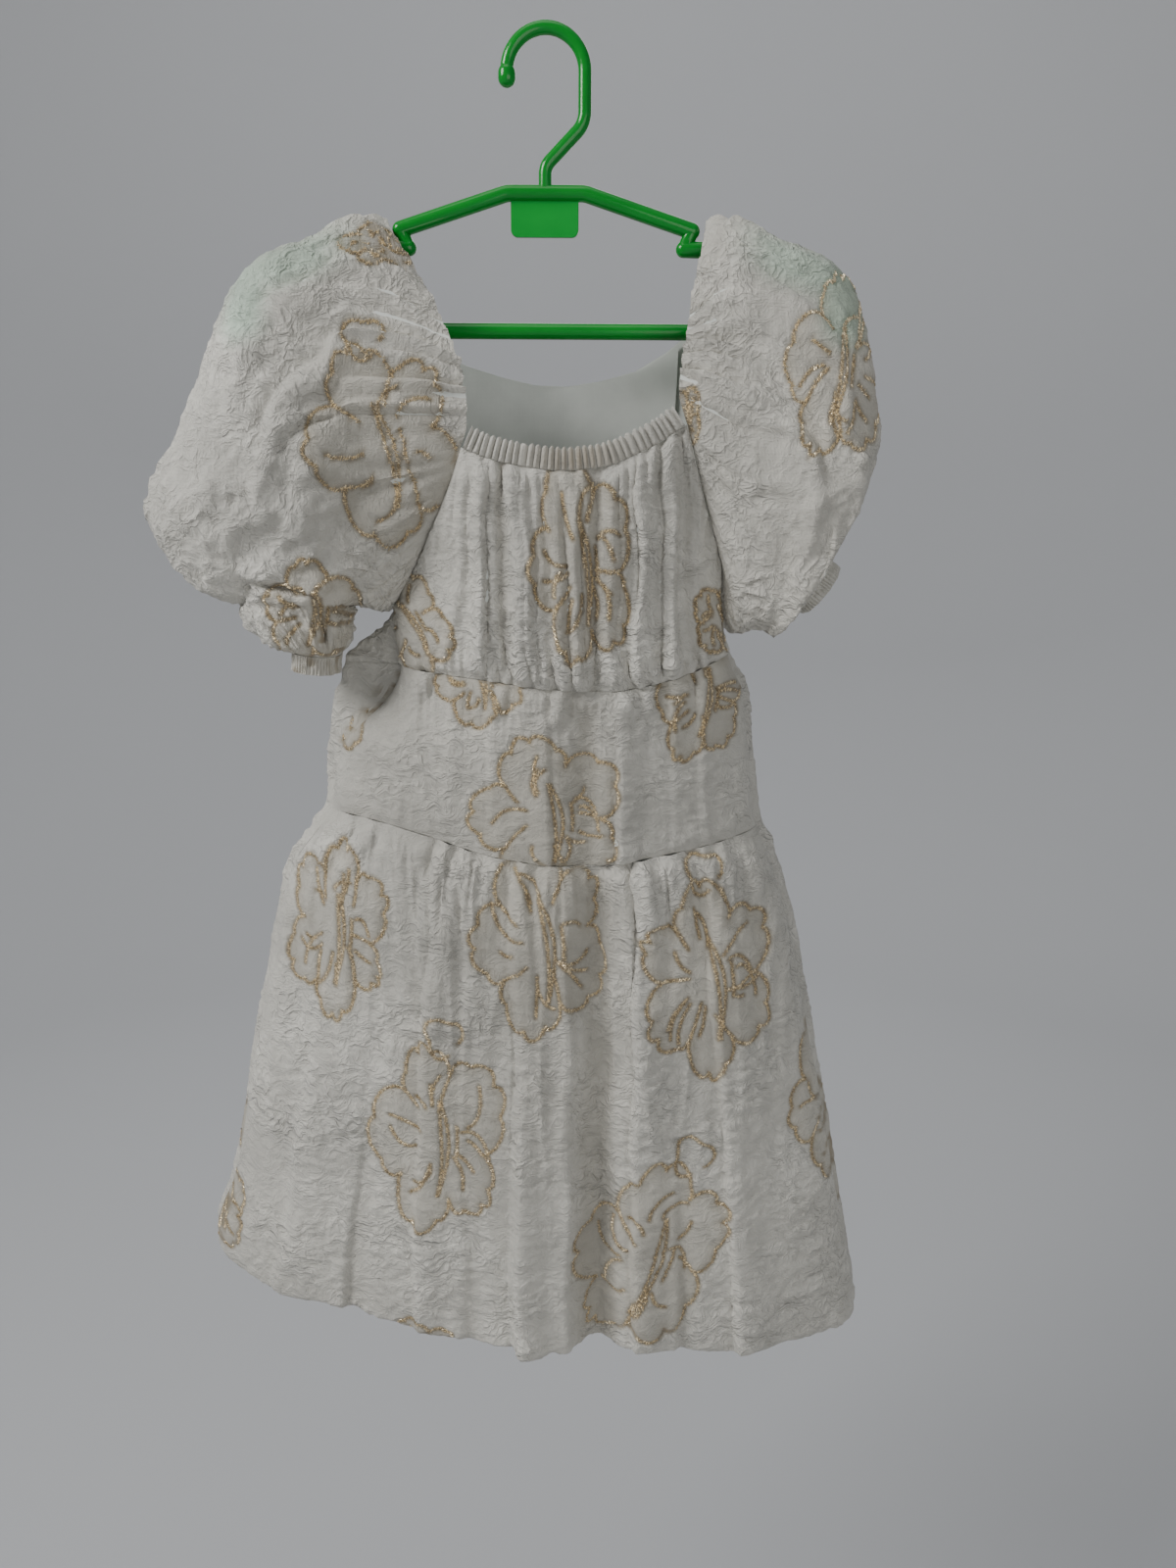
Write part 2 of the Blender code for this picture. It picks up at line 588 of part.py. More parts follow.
# Elastic casing of the front neck: a closed flat tube swept along the neck, its front
# pushed into gathers. Each section is six points around the tube.
def casing_sections(waves, steps):
    count = waves * steps
    s = np.linspace(0.012, 0.988, count + 1)
    top_z = read(FRONT_SEAMS, "neck", s, "s")
    wave = np.cos(np.pi * 2 * waves * np.linspace(0, 1, count + 1))
    edge = front_point(s, top_z - CASING_HEIGHT)
    edge[:, 1] = np.minimum(edge[:, 1], -38.5)
    along = np.gradient(edge, axis=0)
    along /= np.linalg.norm(along, axis=1)[:, None]
    up = np.array([0, 0, 1.0]) - along * along[:, 2:]
    up /= np.linalg.norm(up, axis=1)[:, None]
    out = np.cross(along, up)
    shape = table(
        "up   out   wave top_wave",
        (0.00, 0.30, 0.3, 0.0),
        (0.35, 1.00, 1.0, 0.0),
        (0.80, 0.90, 1.0, 0.3),
        (1.00, -0.60, 0.3, 0.8),
        (0.80, -1.70, 0.0, 0.3),
        (0.00, -1.50, 0.0, 0.0),
    )
    rings = []
    for k in range(len(shape["up"])):
        height = shape["up"][k] * CASING_HEIGHT + shape["top_wave"][k] * 0.8 * wave
        depth = shape["out"][k] * CASING_THICKNESS / 3 + shape["wave"][k] * 0.75 * wave
        rings.append(edge + up * height[:, None] + out * depth[:, None])
    return np.stack(rings, axis=1)


# Lining that shows inside the back, a little in front of the back bodice.
def lining_grid(columns, rows):
    s, v = np.meshgrid(np.linspace(0.08, 0.92, columns + 1), np.linspace(0, 1, rows + 1))
    z_top = read(BACK_SEAMS, "neck", s, "s") - 1.0
    z_low = LINING_BOTTOM
    s = mix(s, 0.12 + 0.76 * s, v)
    points = back_point(s, mix(z_top, z_low, v))
    points[..., 1] += back_lift(s, points) - CLOTH_WALL - 1.0
    return points


def clean_scene():
    for item in list(bpy.data.objects):
        bpy.data.objects.remove(item, do_unlink=True)
    for group in list(bpy.data.collections):
        bpy.data.collections.remove(group)


def make_material(name, colour, roughness):
    material = bpy.data.materials.new(name)
    material.use_nodes = True
    shader = material.node_tree.nodes["Principled BSDF"]
    shader.inputs["Base Color"].default_value = (*colour, 1.0)
    shader.inputs["Roughness"].default_value = roughness
    return material


def new_object(name, mesh, material, group):
    thing = bpy.data.objects.new(name, mesh)
    mesh.materials.clear()
    mesh.materials.append(material)
    group.objects.link(thing)
    return thing


def grid_mesh(name, points, ring, flip):
    rows, columns = points.shape[:2]
    index = np.arange(rows * columns).reshape(rows, columns)
    if ring:
        index = np.concatenate([index, index[:, :1]], axis=1)
    quads = np.stack([index[:-1, :-1], index[1:, :-1], index[1:, 1:], index[:-1, 1:]], axis=-1)
    quads = quads.reshape(-1, 4)
    if flip:
        quads = quads[:, ::-1]
    mesh = bpy.data.meshes.new(name)
    mesh.from_pydata((points.reshape(-1, 3) * MM).tolist(), [], quads.tolist())
    mesh.update()
    return mesh


def shell(name, points, material, group, wall=CLOTH_WALL, ring=False, flip=False):
    thing = new_object(name, grid_mesh(name, points, ring, flip), material, group)
    thicken = thing.modifiers.new("wall", "SOLIDIFY")
    thicken.thickness = wall * MM
    thicken.offset = -1.0
    thicken.use_even_offset = False
    return thing


def closed_tube_mesh(name, sections):
    count, around = sections.shape[:2]
    index = np.arange(count * around).reshape(count, around)
    index = np.concatenate([index, index[:, :1]], axis=1)
    quads = np.stack([index[:-1, :-1], index[1:, :-1], index[1:, 1:], index[:-1, 1:]], axis=-1)
    faces = quads.reshape(-1, 4).tolist()
    faces.append(list(range(around)))
    faces.append(list(range((count - 1) * around, count * around))[::-1])
    mesh = bpy.data.meshes.new(name)
    mesh.from_pydata((sections.reshape(-1, 3) * MM).tolist(), [], faces)
    mesh.update()
    return mesh


# A path through corners, each rounded to its radius.
def rounded_path(rows, step_degrees=15):
    corners = np.stack([rows["x"], rows["z"]], axis=1)
    path = [corners[0]]
    for k in range(1, len(corners) - 1):
        before = corners[k - 1] - corners[k]
        after = corners[k + 1] - corners[k]
        before = before / np.linalg.norm(before)
        after = after / np.linalg.norm(after)
        opening = math.acos(float(np.clip(before @ after, -1, 1)))
        radius = rows["radius"][k]
        reach = radius / math.tan(opening / 2)
        start, end = corners[k] + before * reach, corners[k] + after * reach
        bisector = (before + after) / np.linalg.norm(before + after)
        centre = corners[k] + bisector * (radius / math.sin(opening / 2))
        turn = math.pi - opening
        count = max(2, int(round(math.degrees(turn) / step_degrees)))
        first, last = start - centre, end - centre
        for i in range(count + 1):
            w = i / count
            arc = (math.sin((1 - w) * turn) * first + math.sin(w * turn) * last) / math.sin(turn)
            path.append(centre + arc)
    path.append(corners[-1])
    return np.array(path)


def tube_mesh(name, path, radius, roundness):
    curve = bpy.data.curves.new(name, "CURVE")
    curve.dimensions = "3D"
    curve.bevel_depth = radius * MM
    curve.bevel_resolution = roundness
    curve.use_fill_caps = True
    spline = curve.splines.new("POLY")
    spline.points.add(len(path) - 1)
    for point, place in zip(spline.points, path):
        point.co = (place[0] * MM, 0.0, place[1] * MM, 1.0)
    thing = bpy.data.objects.new(name, curve)
    bpy.context.scene.collection.objects.link(thing)
    bpy.context.view_layer.update()
    graph = bpy.context.evaluated_depsgraph_get()
    mesh = bpy.data.meshes.new_from_object(thing.evaluated_get(graph))
    bpy.data.objects.remove(thing, do_unlink=True)
    bpy.data.curves.remove(curve)
    work = bmesh.new()
    work.from_mesh(mesh)
    bmesh.ops.remove_doubles(work, verts=work.verts, dist=0.00001)
    bmesh.ops.recalc_face_normals(work, faces=work.faces)
    work.to_mesh(mesh)
    work.free()
    return mesh


def ball_mesh(name, centre, radius, stretch=1.0):
    mesh = bpy.data.meshes.new(name)
    work = bmesh.new()
    bmesh.ops.create_uvsphere(work, u_segments=12, v_segments=8, radius=radius * MM)
    for vert in work.verts:
        vert.co.z *= stretch
        vert.co.x += centre[0] * MM
        vert.co.z += centre[1] * MM
    work.to_mesh(mesh)
    work.free()
    return mesh


# Label tab: a plate with rounded lower corners that hangs from the top bar.
def tab_mesh():
    left, right, top, bottom, corner = -20.0, 18.5, -81.0, -103.2, 4.0
    outline = [(left, top), (right, top)]
    for k in range(5):
        angle = math.pi / 2 * k / 4
        outline.append((right - corner + corner * math.cos(angle), bottom + corner - corner * math.sin(angle)))
    for k in range(5):
        angle = math.pi / 2 * k / 4
        outline.append((left + corner - corner * math.sin(angle), bottom + corner - corner * math.cos(angle)))
    work = bmesh.new()
    verts = [work.verts.new((x * MM, -TAB_THICKNESS / 2 * MM, z * MM)) for x, z in outline]
    face = work.faces.new(verts)
    pushed = bmesh.ops.extrude_face_region(work, geom=[face])
    moved = [item for item in pushed["geom"] if isinstance(item, bmesh.types.BMVert)]
    bmesh.ops.translate(work, verts=moved, vec=(0, TAB_THICKNESS * MM, 0))
    bmesh.ops.recalc_face_normals(work, faces=work.faces)
    mesh = bpy.data.meshes.new("tab")
    work.to_mesh(mesh)
    work.free()
    return mesh


def join_solids(name, meshes, material, group, cutters):
    body = new_object(name, meshes[0], material, group)
    for number, mesh in enumerate(meshes[1:], 1):
        other = bpy.data.objects.new(name + "_piece_" + str(number), mesh)
        cutters.objects.link(other)
        other.hide_render = True
        other.display_type = "WIRE"
        union = body.modifiers.new("union_" + str(number), "BOOLEAN")
        union.operation = "UNION"
        union.solver = "EXACT"
        union.object = other
    return body


def hanger(material, group, cutters):
    flip = np.array([-1.0, 1.0])
    top = rounded_path(TOP_BAR)
    low = rounded_path(LOWER_BAR)
    top_path = np.concatenate([(top * flip)[::-1], top[1:]])
    low_path = np.concatenate([low, (low * flip)[::-1][1:]])
    centre_z = HOOK_RADIUS - HOOK_LOOP_RADIUS
    angles = np.radians(np.linspace(183, 0, 15))
    loop = np.stack([np.cos(angles), np.sin(angles)], axis=1) * HOOK_LOOP_RADIUS + [0, centre_z]
    stem = rounded_path(HOOK_STEM, 18)
    hook_path = np.concatenate([loop[:-1], stem])
    notch_out = top[-1]
    notch_in = low[0]
    meshes = [
        tube_mesh("top_bar", top_path, BAR_RADIUS, 2),
        tube_mesh("lower_bar", low_path, BAR_RADIUS, 2),
        tube_mesh("hook", hook_path, HOOK_RADIUS, 2),
        ball_mesh("hook_tip", loop[0] + [0, -1.5], 4.9, 1.15),
        tab_mesh(),
    ]
    for sign in (-1, 1):
        side = np.array([sign, 1.0])
        meshes.append(tube_mesh("jog", np.array([notch_out * side, notch_in * side]), JOG_RADIUS, 2))
        meshes.append(ball_mesh("notch_corner", notch_out * side, BAR_RADIUS + 0.15))
        meshes.append(ball_mesh("notch_foot", notch_in * side, BAR_RADIUS + 0.15))
    return join_solids("hanger", meshes, material, group, cutters)


def build():
    clean_scene()
    scene = bpy.context.scene
    group = bpy.data.collections.new("party_dress_on_hanger")
    scene.collection.children.link(group)
    cutters = bpy.data.collections.new("hanger_pieces")
    scene.collection.children.link(cutters)

    crepe = make_material("crepe", (0.80, 0.78, 0.73), 0.8)
    crepe_sleeve = make_material("crepe_sleeve", (0.82, 0.80, 0.76), 0.8)
    crepe_tier = make_material("crepe_tier", (0.79, 0.77, 0.72), 0.8)
    crepe_band = make_material("crepe_band", (0.84, 0.82, 0.78), 0.8)
    lining = make_material("lining", (0.72, 0.72, 0.68), 0.7)
    plastic = make_material("green_plastic", (0.0, 0.55, 0.07), 0.18)

    hanger(plastic, group, cutters)
    shell("front_bodice", front_bodice_grid(19, 11), crepe, group)
    shell("back_bodice", back_bodice_grid(8, 6), crepe, group, flip=True)
    shell("back_lining", lining_grid(12, 6), lining, group, wall=LINING_WALL, flip=True)
    casing = closed_tube_mesh("front_neck_casing", casing_sections(CASING_WAVES, 2))
    new_object("front_neck_casing", casing, crepe_band, group)
    for side in ("left", "right"):
        turned = side == "left"
        shell(side + "_sleeve", sleeve_grid(side), crepe_sleeve, group, ring=True, flip=turned)
        shell(side + "_cuff", cuff_grid(side), crepe_band, group, ring=True, flip=turned)
    shell("middle_tier_front", middle_front_grid(30, 6), crepe_tier, group)
    shell("middle_tier_back", middle_back_grid(18, 5), crepe_tier, group, flip=True)
    skirt_front = skirt_grid(38, 10, front_point, FRONT_SEAMS, -1, SKIRT_FRONT_WAVES)
    shell("skirt_front", skirt_front, crepe, group)
    skirt_back = skirt_grid(24, 9, back_point, BACK_SEAMS, 1, SKIRT_BACK_WAVES)
    shell("skirt_back", skirt_back, crepe, group, flip=True)


build()
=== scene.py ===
import json
import math

import bmesh
import bpy
import numpy as np
from mathutils import Matrix, Vector

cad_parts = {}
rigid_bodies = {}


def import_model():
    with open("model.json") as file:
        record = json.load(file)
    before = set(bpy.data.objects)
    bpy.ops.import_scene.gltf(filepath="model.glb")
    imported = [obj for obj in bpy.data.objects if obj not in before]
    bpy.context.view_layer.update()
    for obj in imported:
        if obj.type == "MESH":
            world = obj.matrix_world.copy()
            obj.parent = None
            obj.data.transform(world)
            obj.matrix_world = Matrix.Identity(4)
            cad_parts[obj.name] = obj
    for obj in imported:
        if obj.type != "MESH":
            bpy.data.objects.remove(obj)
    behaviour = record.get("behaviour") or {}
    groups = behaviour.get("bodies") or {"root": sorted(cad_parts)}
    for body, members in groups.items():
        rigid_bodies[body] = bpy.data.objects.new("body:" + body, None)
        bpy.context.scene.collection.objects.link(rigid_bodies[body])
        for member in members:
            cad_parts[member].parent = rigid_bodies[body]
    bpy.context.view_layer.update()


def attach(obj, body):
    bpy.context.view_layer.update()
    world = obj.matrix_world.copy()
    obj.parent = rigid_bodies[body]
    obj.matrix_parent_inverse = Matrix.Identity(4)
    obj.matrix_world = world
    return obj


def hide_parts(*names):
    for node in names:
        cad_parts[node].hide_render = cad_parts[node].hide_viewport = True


# A girl's tiered party dress with puff sleeves, on a child's plastic hanger.
# Lengths are millimetres in the row frame: origin at the hook seat, Z up, front faces -Y.
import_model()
mm = 0.001

clothWall = 1.4
liningWall = 1.0
seamGap = 0.16
sideGap = 1.1
casingHeight = 11.5
sleeveColumns = 44  # columns of a sleeve around its armhole, underarm first
raglanColumns = 10
shoulderStart = 11
shoulderEnd = 29
liningBottom = -298.0
hemRoll = 5.0
hemTurnUp = 12.0
cuffHeight = 11.0
casingWaves = 33
bodiceWaves = 16
middleWaves = 10
skirtFrontWaves = 14
skirtBackWaves = 10
sleeveNeckWaves = 22
cuffWaves = 11


def table(columns, *rows):
    names = columns.split()
    values = np.array(rows, dtype=float)
    return {name: values[:, index] for index, name in enumerate(names)}


# Sides and front of the dress at each height: the side seams (below the underarm) or
# the raglan seams (above it), and how far forward the middle of the front stands.
frontForm = table(
    "z      leftX leftY rightX rightY frontY",
    (-190,   -39,   -39,    74,     -39,    -42),
    (-211,   -44,   -37,    81,     -36,    -44),
    (-240,   -54,   -32,    89,     -31,    -46),
    (-265,   -66,   -25,    97,     -25,    -47),
    (-283,   -74,   -18,   103,     -18,    -47),
    (-311,   -91,   -10,   105,     -13,    -46),
    (-313,   -92,   -10,   105.3,   -12,    -46),
    (-323,   -92,    -9,   107,      -8,    -45),
    (-348,   -89,    -8,   114,      -4,    -43),
    (-362,   -94,    -7,   121,      -2,    -43),
    (-400,  -128,    -3,   126,       0,    -46),
    (-440,  -138,     0,   131,       0,    -48),
    (-475,  -162,     0,   144,       0,    -51),
    (-503,  -172,     0,   153,       0,    -53),
    (-527,  -177,     0,   160,       0,    -54),
    (-560,  -185,     0,   167,       0,    -55),
    (-593,  -192,     0,   174,       0,    -56),
    (-627,  -200,     0,   182,       0,    -57),
    (-662,  -206,     0,   189,       0,    -57),
    (-702,  -216,     0,   197,       0,    -58),
    (-738,  -229,     0,   205,       0,    -59),
    (-767,  -229,     0,   211,       0,    -60),
    (-815,  -226,     0,   219,       0,    -61),
)

# The back: its raglan or side seams, how far back its middle stands, and how far the
# cloth swells out past each seam before it turns to the back.
backForm = table(
    "z      leftX leftY rightX rightY backY leftSwell rightSwell",
    (-130,   -62,    26,    88,      26,    27,      0,         0),
    (-163,   -66,    26,    92,      25,    28,      0,         0),
    (-200,   -73,    22,    96,      21,    29,      0,         0),
    (-240,   -80,    16,   101,      15,    30,      0,         0),
    (-280,   -87,     3,   104,       9,    30,      1,         2),
    (-311,   -91,   -10,   105,      -2,    30,      6,         6),
    (-313,   -92,   -10,   105.3,    -3,    30,      7,         6),
    (-323,   -92,    -9,   107,      -8,    30,     18,         8),
    (-348,   -89,    -8,   114,      -4,    30,     50,        12),
    (-362,   -94,    -7,   121,      -2,    30,     50,        14),
    (-400,  -128,    -3,   126,       0,    30,     24,        16),
    (-440,  -138,     0,   131,       0,    30,     18,        18),
    (-475,  -162,     0,   144,       0,    31,     18,        18),
    (-527,  -177,     0,   160,       0,    31,     18,        18),
    (-593,  -192,     0,   174,       0,    32,     20,        20),
    (-662,  -206,     0,   189,       0,    32,     20,        20),
    (-702,  -216,     0,   197,       0,    32,     20,        20),
    (-738,  -229,     0,   205,       0,    32,     20,        20),
    (-815,  -226,     0,   219,       0,    32,     20,        20),
)

# Heights of the seams across the front, from the left side seam to the right one.
frontSeams = table(
    "s     neck   empire  tier   hem",
    (0.00, -209,  -347,  -437,  -752),
    (0.10, -214,  -349,  -439,  -764),
    (0.25, -219,  -352,  -446,  -772),
    (0.45, -222,  -357,  -459,  -788),
    (0.60, -220,  -358,  -463,  -790),
    (0.80, -210,  -352,  -457,  -801),
    (1.00, -196,  -339,  -448,  -803),
)
backSeams = table(
    "s     neck   empire  tier   hem",
    (0.00, -163,  -347,  -437,  -752),
    (0.12, -170,  -346,  -440,  -766),
    (0.45, -181,  -344,  -446,  -782),
    (0.75, -172,  -342,  -448,  -792),
    (1.00, -146,  -339,  -448,  -803),
)
underarmZ = {"left": -311.0, "right": -323.0}

# Free neck edge of each sleeve, from the front neck corner over the shoulder to the
# back neck corner. At share 0 it meets the front seam, at 0.5 it tops the shoulder.
leftNeckEdge = table(
    "share   x     y     z",
    (0.00,  -43,  -38,  -205),
    (0.12,  -46,  -35,  -181),
    (0.23,  -54,  -30,  -160),
    (0.32,  -62,  -24,  -143),
    (0.42,  -76,  -15,  -119),
    (0.50,  -90,    0,   -97),
    (0.63,  -80,   15,  -118),
    (0.80,  -73,   23,  -140),
    (1.00,  -66,   26,  -163),
)
rightNeckEdge = table(
    "share   x     y     z",
    (0.00,   75,  -39,  -193),
    (0.12,   77,  -35,  -172),
    (0.23,   80,  -30,  -155),
    (0.32,   82,  -24,  -140),
    (0.42,   86,  -15,  -121),
    (0.50,   91,    0,   -97),
    (0.63,   90,   15,  -112),
    (0.80,   89,   23,  -129),
    (1.00,   90,   26,  -146),
)

# Rings of each sleeve beyond its seam: the outer and the underarm end of the ring, and
# its front and back.
leftSleeveRings = table(
    "u     outX outZ  inX  inZ  midY frontY backY",
    (0.10, -108, -100,   -98, -311,  -4,   -43,    29),
    (0.20, -132, -110,  -102, -311,  -5,   -47,    29),
    (0.29, -155, -117,  -105, -310,  -6,   -50,    29),
    (0.37, -174, -132,  -107, -310,  -6,   -52,    29),
    (0.48, -191, -167,  -110, -309,  -7,   -53,    29),
    (0.59, -211, -211,  -113, -309,  -8,   -53,    28),
    (0.69, -233, -258,  -115, -309,  -9,   -53,    26),
    (0.77, -218, -285,  -117, -309, -10,   -53,    24),
    (0.83, -199, -303,  -119, -309, -12,   -51,    21),
    (0.87, -187, -309,  -120, -310, -14,   -48,    17),
    (0.92, -176, -320,  -120, -316, -16,   -48,    16),
    (0.96, -162, -332,  -121, -328, -17,   -47,    14),
    (1.00, -151, -337,  -124, -340, -18,   -41,     6),
)
rightSleeveRings = table(
    "u     outX outZ  inX  inZ  midY frontY backY",
    (0.10,  108, -100,   114, -323,  -4,   -43,    29),
    (0.20,  132, -109,   117, -323,  -5,   -46,    29),
    (0.29,  155, -117,   120, -323,  -6,   -48,    29),
    (0.37,  174, -133,   123, -323,  -6,   -49,    29),
    (0.48,  183, -160,   126, -323,  -7,   -50,    28),
    (0.58,  189, -186,   129, -323,  -8,   -51,    28),
    (0.68,  192, -210,   132, -323,  -9,   -51,    27),
    (0.77,  187, -236,   134, -325, -10,   -51,    25),
    (0.85,  179, -253,   137, -326, -10,   -49,    22),
    (0.91,  174, -264,   140, -322, -10,   -45,    18),
    (0.96,  169, -273,   143, -315, -10,   -40,    13),
    (1.00,  166, -280,   146, -307, -10,   -34,     8),
)
# The way each cuff points, as X and Z.
cuffWay = {"left": (-0.1, -0.99), "right": (0.80, -0.60)}

# Folds of the front panels: the x of the ridge at the top and bottom of the panel, how
# wide its left and right slopes are, how high it stands (a trough is below zero) at the
# top and at the bottom.
bodiceFolds = table(
    "topX bottomX left right topHigh bottomHigh",
    (-42,   -60,     6,   7,    2.5,     2.0),
    (-33,   -39,     9,   4,    4.0,     6.0),
    (-24,   -25,     4,   8,   -2.5,    -3.0),
    (-18,   -14,     4,  16,    4.0,     4.5),
    (2,      12,     4,   8,    3.0,     4.5),
    (15,     22,     6,   4,    3.5,     4.5),
    (26,     30,     4,   5,   -2.0,    -3.0),
    (36,     40,     5,   8,    3.0,     3.5),
    (55,     54,     3,  10,    5.0,     5.0),
    (72,     76,     8,   4,    4.0,     5.5),
    (79,     88,     4,   7,   -2.0,    -2.0),
)
middleFolds = table(
    "topX bottomX left right topHigh bottomHigh",
    (-75,   -92,     7,  12,    3.0,     0.0),
    (-52,   -60,     5,   9,    2.5,     0.0),
    (-32,   -30,     4,   9,    2.5,     0.0),
    (0,       2,    14,   4,    2.0,     2.5),
    (25,     25,    19,  15,   -5.5,    -5.0),
    (45,     46,     4,  16,    4.5,     4.0),
    (76,     80,     4,   8,    2.5,     0.0),
    (92,     98,     4,   9,    3.0,     0.5),
)
skirtFolds = table(
    "topX bottomX left right topHigh bottomHigh",
    (-118, -176,    8,  34,    2.0,     5.0),
    (-97,  -128,    6,  22,    3.0,    -5.0),
    (-63,   -84,    5,  20,    3.5,     4.0),
    (-45,   -48,    8,  16,    2.5,    -3.0),
    (-12,   -16,    8,  30,    1.5,    13.0),
    (13,     16,   20,   5,    2.0,     5.0),
    (33,    36,   23,  18,   -7.0,   -15.0),
    (56,     60,    4,  26,    5.5,     5.0),
    (76,     92,    5,  14,    3.0,    -4.0),
    (98,    132,    5,  34,    2.0,     7.0),
)
backFolds = table(
    "topX bottomX left right topHigh bottomHigh",
    (-92,  -140,   10,  26,    1.0,    -5.0),
    (-48,   -66,    7,  24,    1.5,     2.5),
    (-6,    -10,    9,  30,   -1.5,    -7.0),
    (40,     58,    8,  24,    1.5,     2.5),
    (84,    122,    8,  26,   -1.0,    -6.0),
)

# Folds of the sleeves: the turn around the sleeve (0 underarm, 0.25 front, 0.5 outer
# side, 0.75 back) where the fold starts and ends, from which ring to which, its width
# as a share of a turn and its height.
leftSleeveFolds = table(
    "startTurn endTurn startU endU width high",
    (0.47,      0.40,     0.00,   0.42, 0.030,  3.0),
    (0.42,      0.34,     0.00,   0.52, 0.030,  3.5),
    (0.37,      0.29,     0.02,   0.50, 0.030, -3.0),
    (0.33,      0.25,     0.00,   0.60, 0.034,  4.0),
    (0.28,      0.19,     0.02,   0.55, 0.030,  3.0),
    (0.20,      0.13,     0.00,   0.60, 0.035, -3.5),
    (0.30,      0.44,     0.55,   0.86, 0.040,  4.0),
    (0.20,      0.30,     0.55,   0.86, 0.040, -4.0),
    (0.12,      0.16,     0.40,   0.90, 0.035,  4.0),
    (0.62,      0.68,     0.00,   0.70, 0.040,  3.0),
    (0.72,      0.76,     0.00,   0.80, 0.040, -3.0),
    (0.84,      0.86,     0.00,   0.80, 0.040,  3.0),
)
rightSleeveFolds = table(
    "startTurn endTurn startU endU width high",
    (0.47,      0.41,     0.00,   0.40, 0.030,  3.0),
    (0.41,      0.33,     0.00,   0.55, 0.030,  3.5),
    (0.35,      0.26,     0.02,   0.50, 0.030, -3.0),
    (0.30,      0.22,     0.00,   0.60, 0.034,  3.5),
    (0.22,      0.15,     0.00,   0.60, 0.032, -3.0),
    (0.16,      0.10,     0.00,   0.55, 0.032,  3.0),
    (0.33,      0.38,     0.55,   0.90, 0.040,  4.0),
    (0.22,      0.26,     0.60,   0.90, 0.040, -3.0),
    (0.62,      0.68,     0.00,   0.70, 0.040,  3.0),
    (0.72,      0.76,     0.00,   0.80, 0.040, -3.0),
    (0.84,      0.86,     0.00,   0.80, 0.040,  3.0),
)

# Centre line of the hanger's right half: the top bar down to the strap notch, and the
# lower bar from the notch around the end to the middle of the bottom bar.
topBar = table(
    "x     z      radius",
    (0,     -80.0,   0),
    (22,    -80.0,  14),
    (83.2,  -99.3,   0),
)
lowerBar = table(
    "x     z      radius",
    (78.6, -109.0,   0),
    (104,  -109.5,  40),
    (163.5, -130.0, 16),
    (165.5, -153.5,  8),
    (0,    -153.5,   0),
)
# Centre line of the hook below its round top.
hookStem = table(
    "x      z      radius",
    (21.7,  -18.0,    0),
    (21.7,  -44.0,   14),
    (-0.5,  -66.0,   10),
    (-0.5,  -79.0,    0),
)


# A smooth curve through the knots that never swings past them: cubic pieces whose slope at
# a knot is the harmonic mean of the slopes on its two sides, or none where they turn.
def smoothThrough(knots, values, at):
    knots = np.asarray(knots, dtype=float)
    values = np.asarray(values, dtype=float)
    order = np.argsort(knots)
    knots = knots[order]
    values = values[order]
    steps = np.diff(knots)
    shape = (-1,) + (1,) * (values.ndim - 1)
    slopes = np.diff(values, axis=0) / steps.reshape(shape)
    left, right = slopes[:-1], slopes[1:]
    sameWay = left * right > 0
    safeLeft = np.where(sameWay, left, 1.0)
    safeRight = np.where(sameWay, right, 1.0)
    inner = np.where(sameWay, 2.0 / (1.0 / safeLeft + 1.0 / safeRight), 0.0)
    tangents = np.concatenate([slopes[:1], inner, slopes[-1:]])
    at = np.clip(np.asarray(at, dtype=float), knots[0], knots[-1])
    cell = np.clip(np.searchsorted(knots, at) - 1, 0, len(knots) - 2)
    grow = at.shape + (1,) * (values.ndim - 1)
    width = steps[cell].reshape(grow)
    w = ((at - knots[cell]) / steps[cell]).reshape(grow)
    return ((1 + 2 * w) * (1 - w) ** 2 * values[cell]
            + w * (1 - w) ** 2 * width * tangents[cell]
            + w * w * (3 - 2 * w) * values[cell + 1]
            + w * w * (w - 1) * width * tangents[cell + 1])


def read(source, name, at, key="z"):
    return smoothThrough(source[key], source[name], at)


# From 0 at the start to 1 at the end, level at both: w squared times (3 - 2 w).
def ramp(start, end, at):
    w = np.clip((at - start) / (end - start), 0.0, 1.0)
    return w * w * (3 - 2 * w)


def mix(first, second, share):
    return first + (second - first) * share


# How far a panel has swung from its side seams to its middle: fuller below the underarm.
def archShare(s, z):
    return np.sin(np.pi * np.clip(s, 0, 1)) ** (0.5 + 0.25 * ramp(-335, -290, z))


# A place on the front: across from seam to seam by s, out by the arch share of the middle.
def frontPoint(s, z):
    leftX, rightX = read(frontForm, "leftX", z), read(frontForm, "rightX", z)
    sideY = mix(read(frontForm, "leftY", z), read(frontForm, "rightY", z), s)
    arch = archShare(s, z)
    y = sideY + (read(frontForm, "frontY", z) - sideY) * arch
    return np.stack([mix(leftX, rightX, s), y, z + 0 * s], axis=-1)


# A place on the back: as on the front, swelled sideways by s times e to the power -s just
# past each seam.
def backPoint(s, z):
    leftX, rightX = read(backForm, "leftX", z), read(backForm, "rightX", z)
    sideY = mix(read(backForm, "leftY", z), read(backForm, "rightY", z), s)
    y = sideY + (read(backForm, "backY", z) - sideY) * archShare(s, z)
    swellAt = 0.07
    x = mix(leftX, rightX, s)
    x = x - read(backForm, "leftSwell", z) * s / swellAt * np.exp(1 - s / swellAt)
    x = x + read(backForm, "rightSwell", z) * (1 - s) / swellAt * np.exp(1 - (1 - s) / swellAt)
    return np.stack([x, y, z + 0 * s], axis=-1)


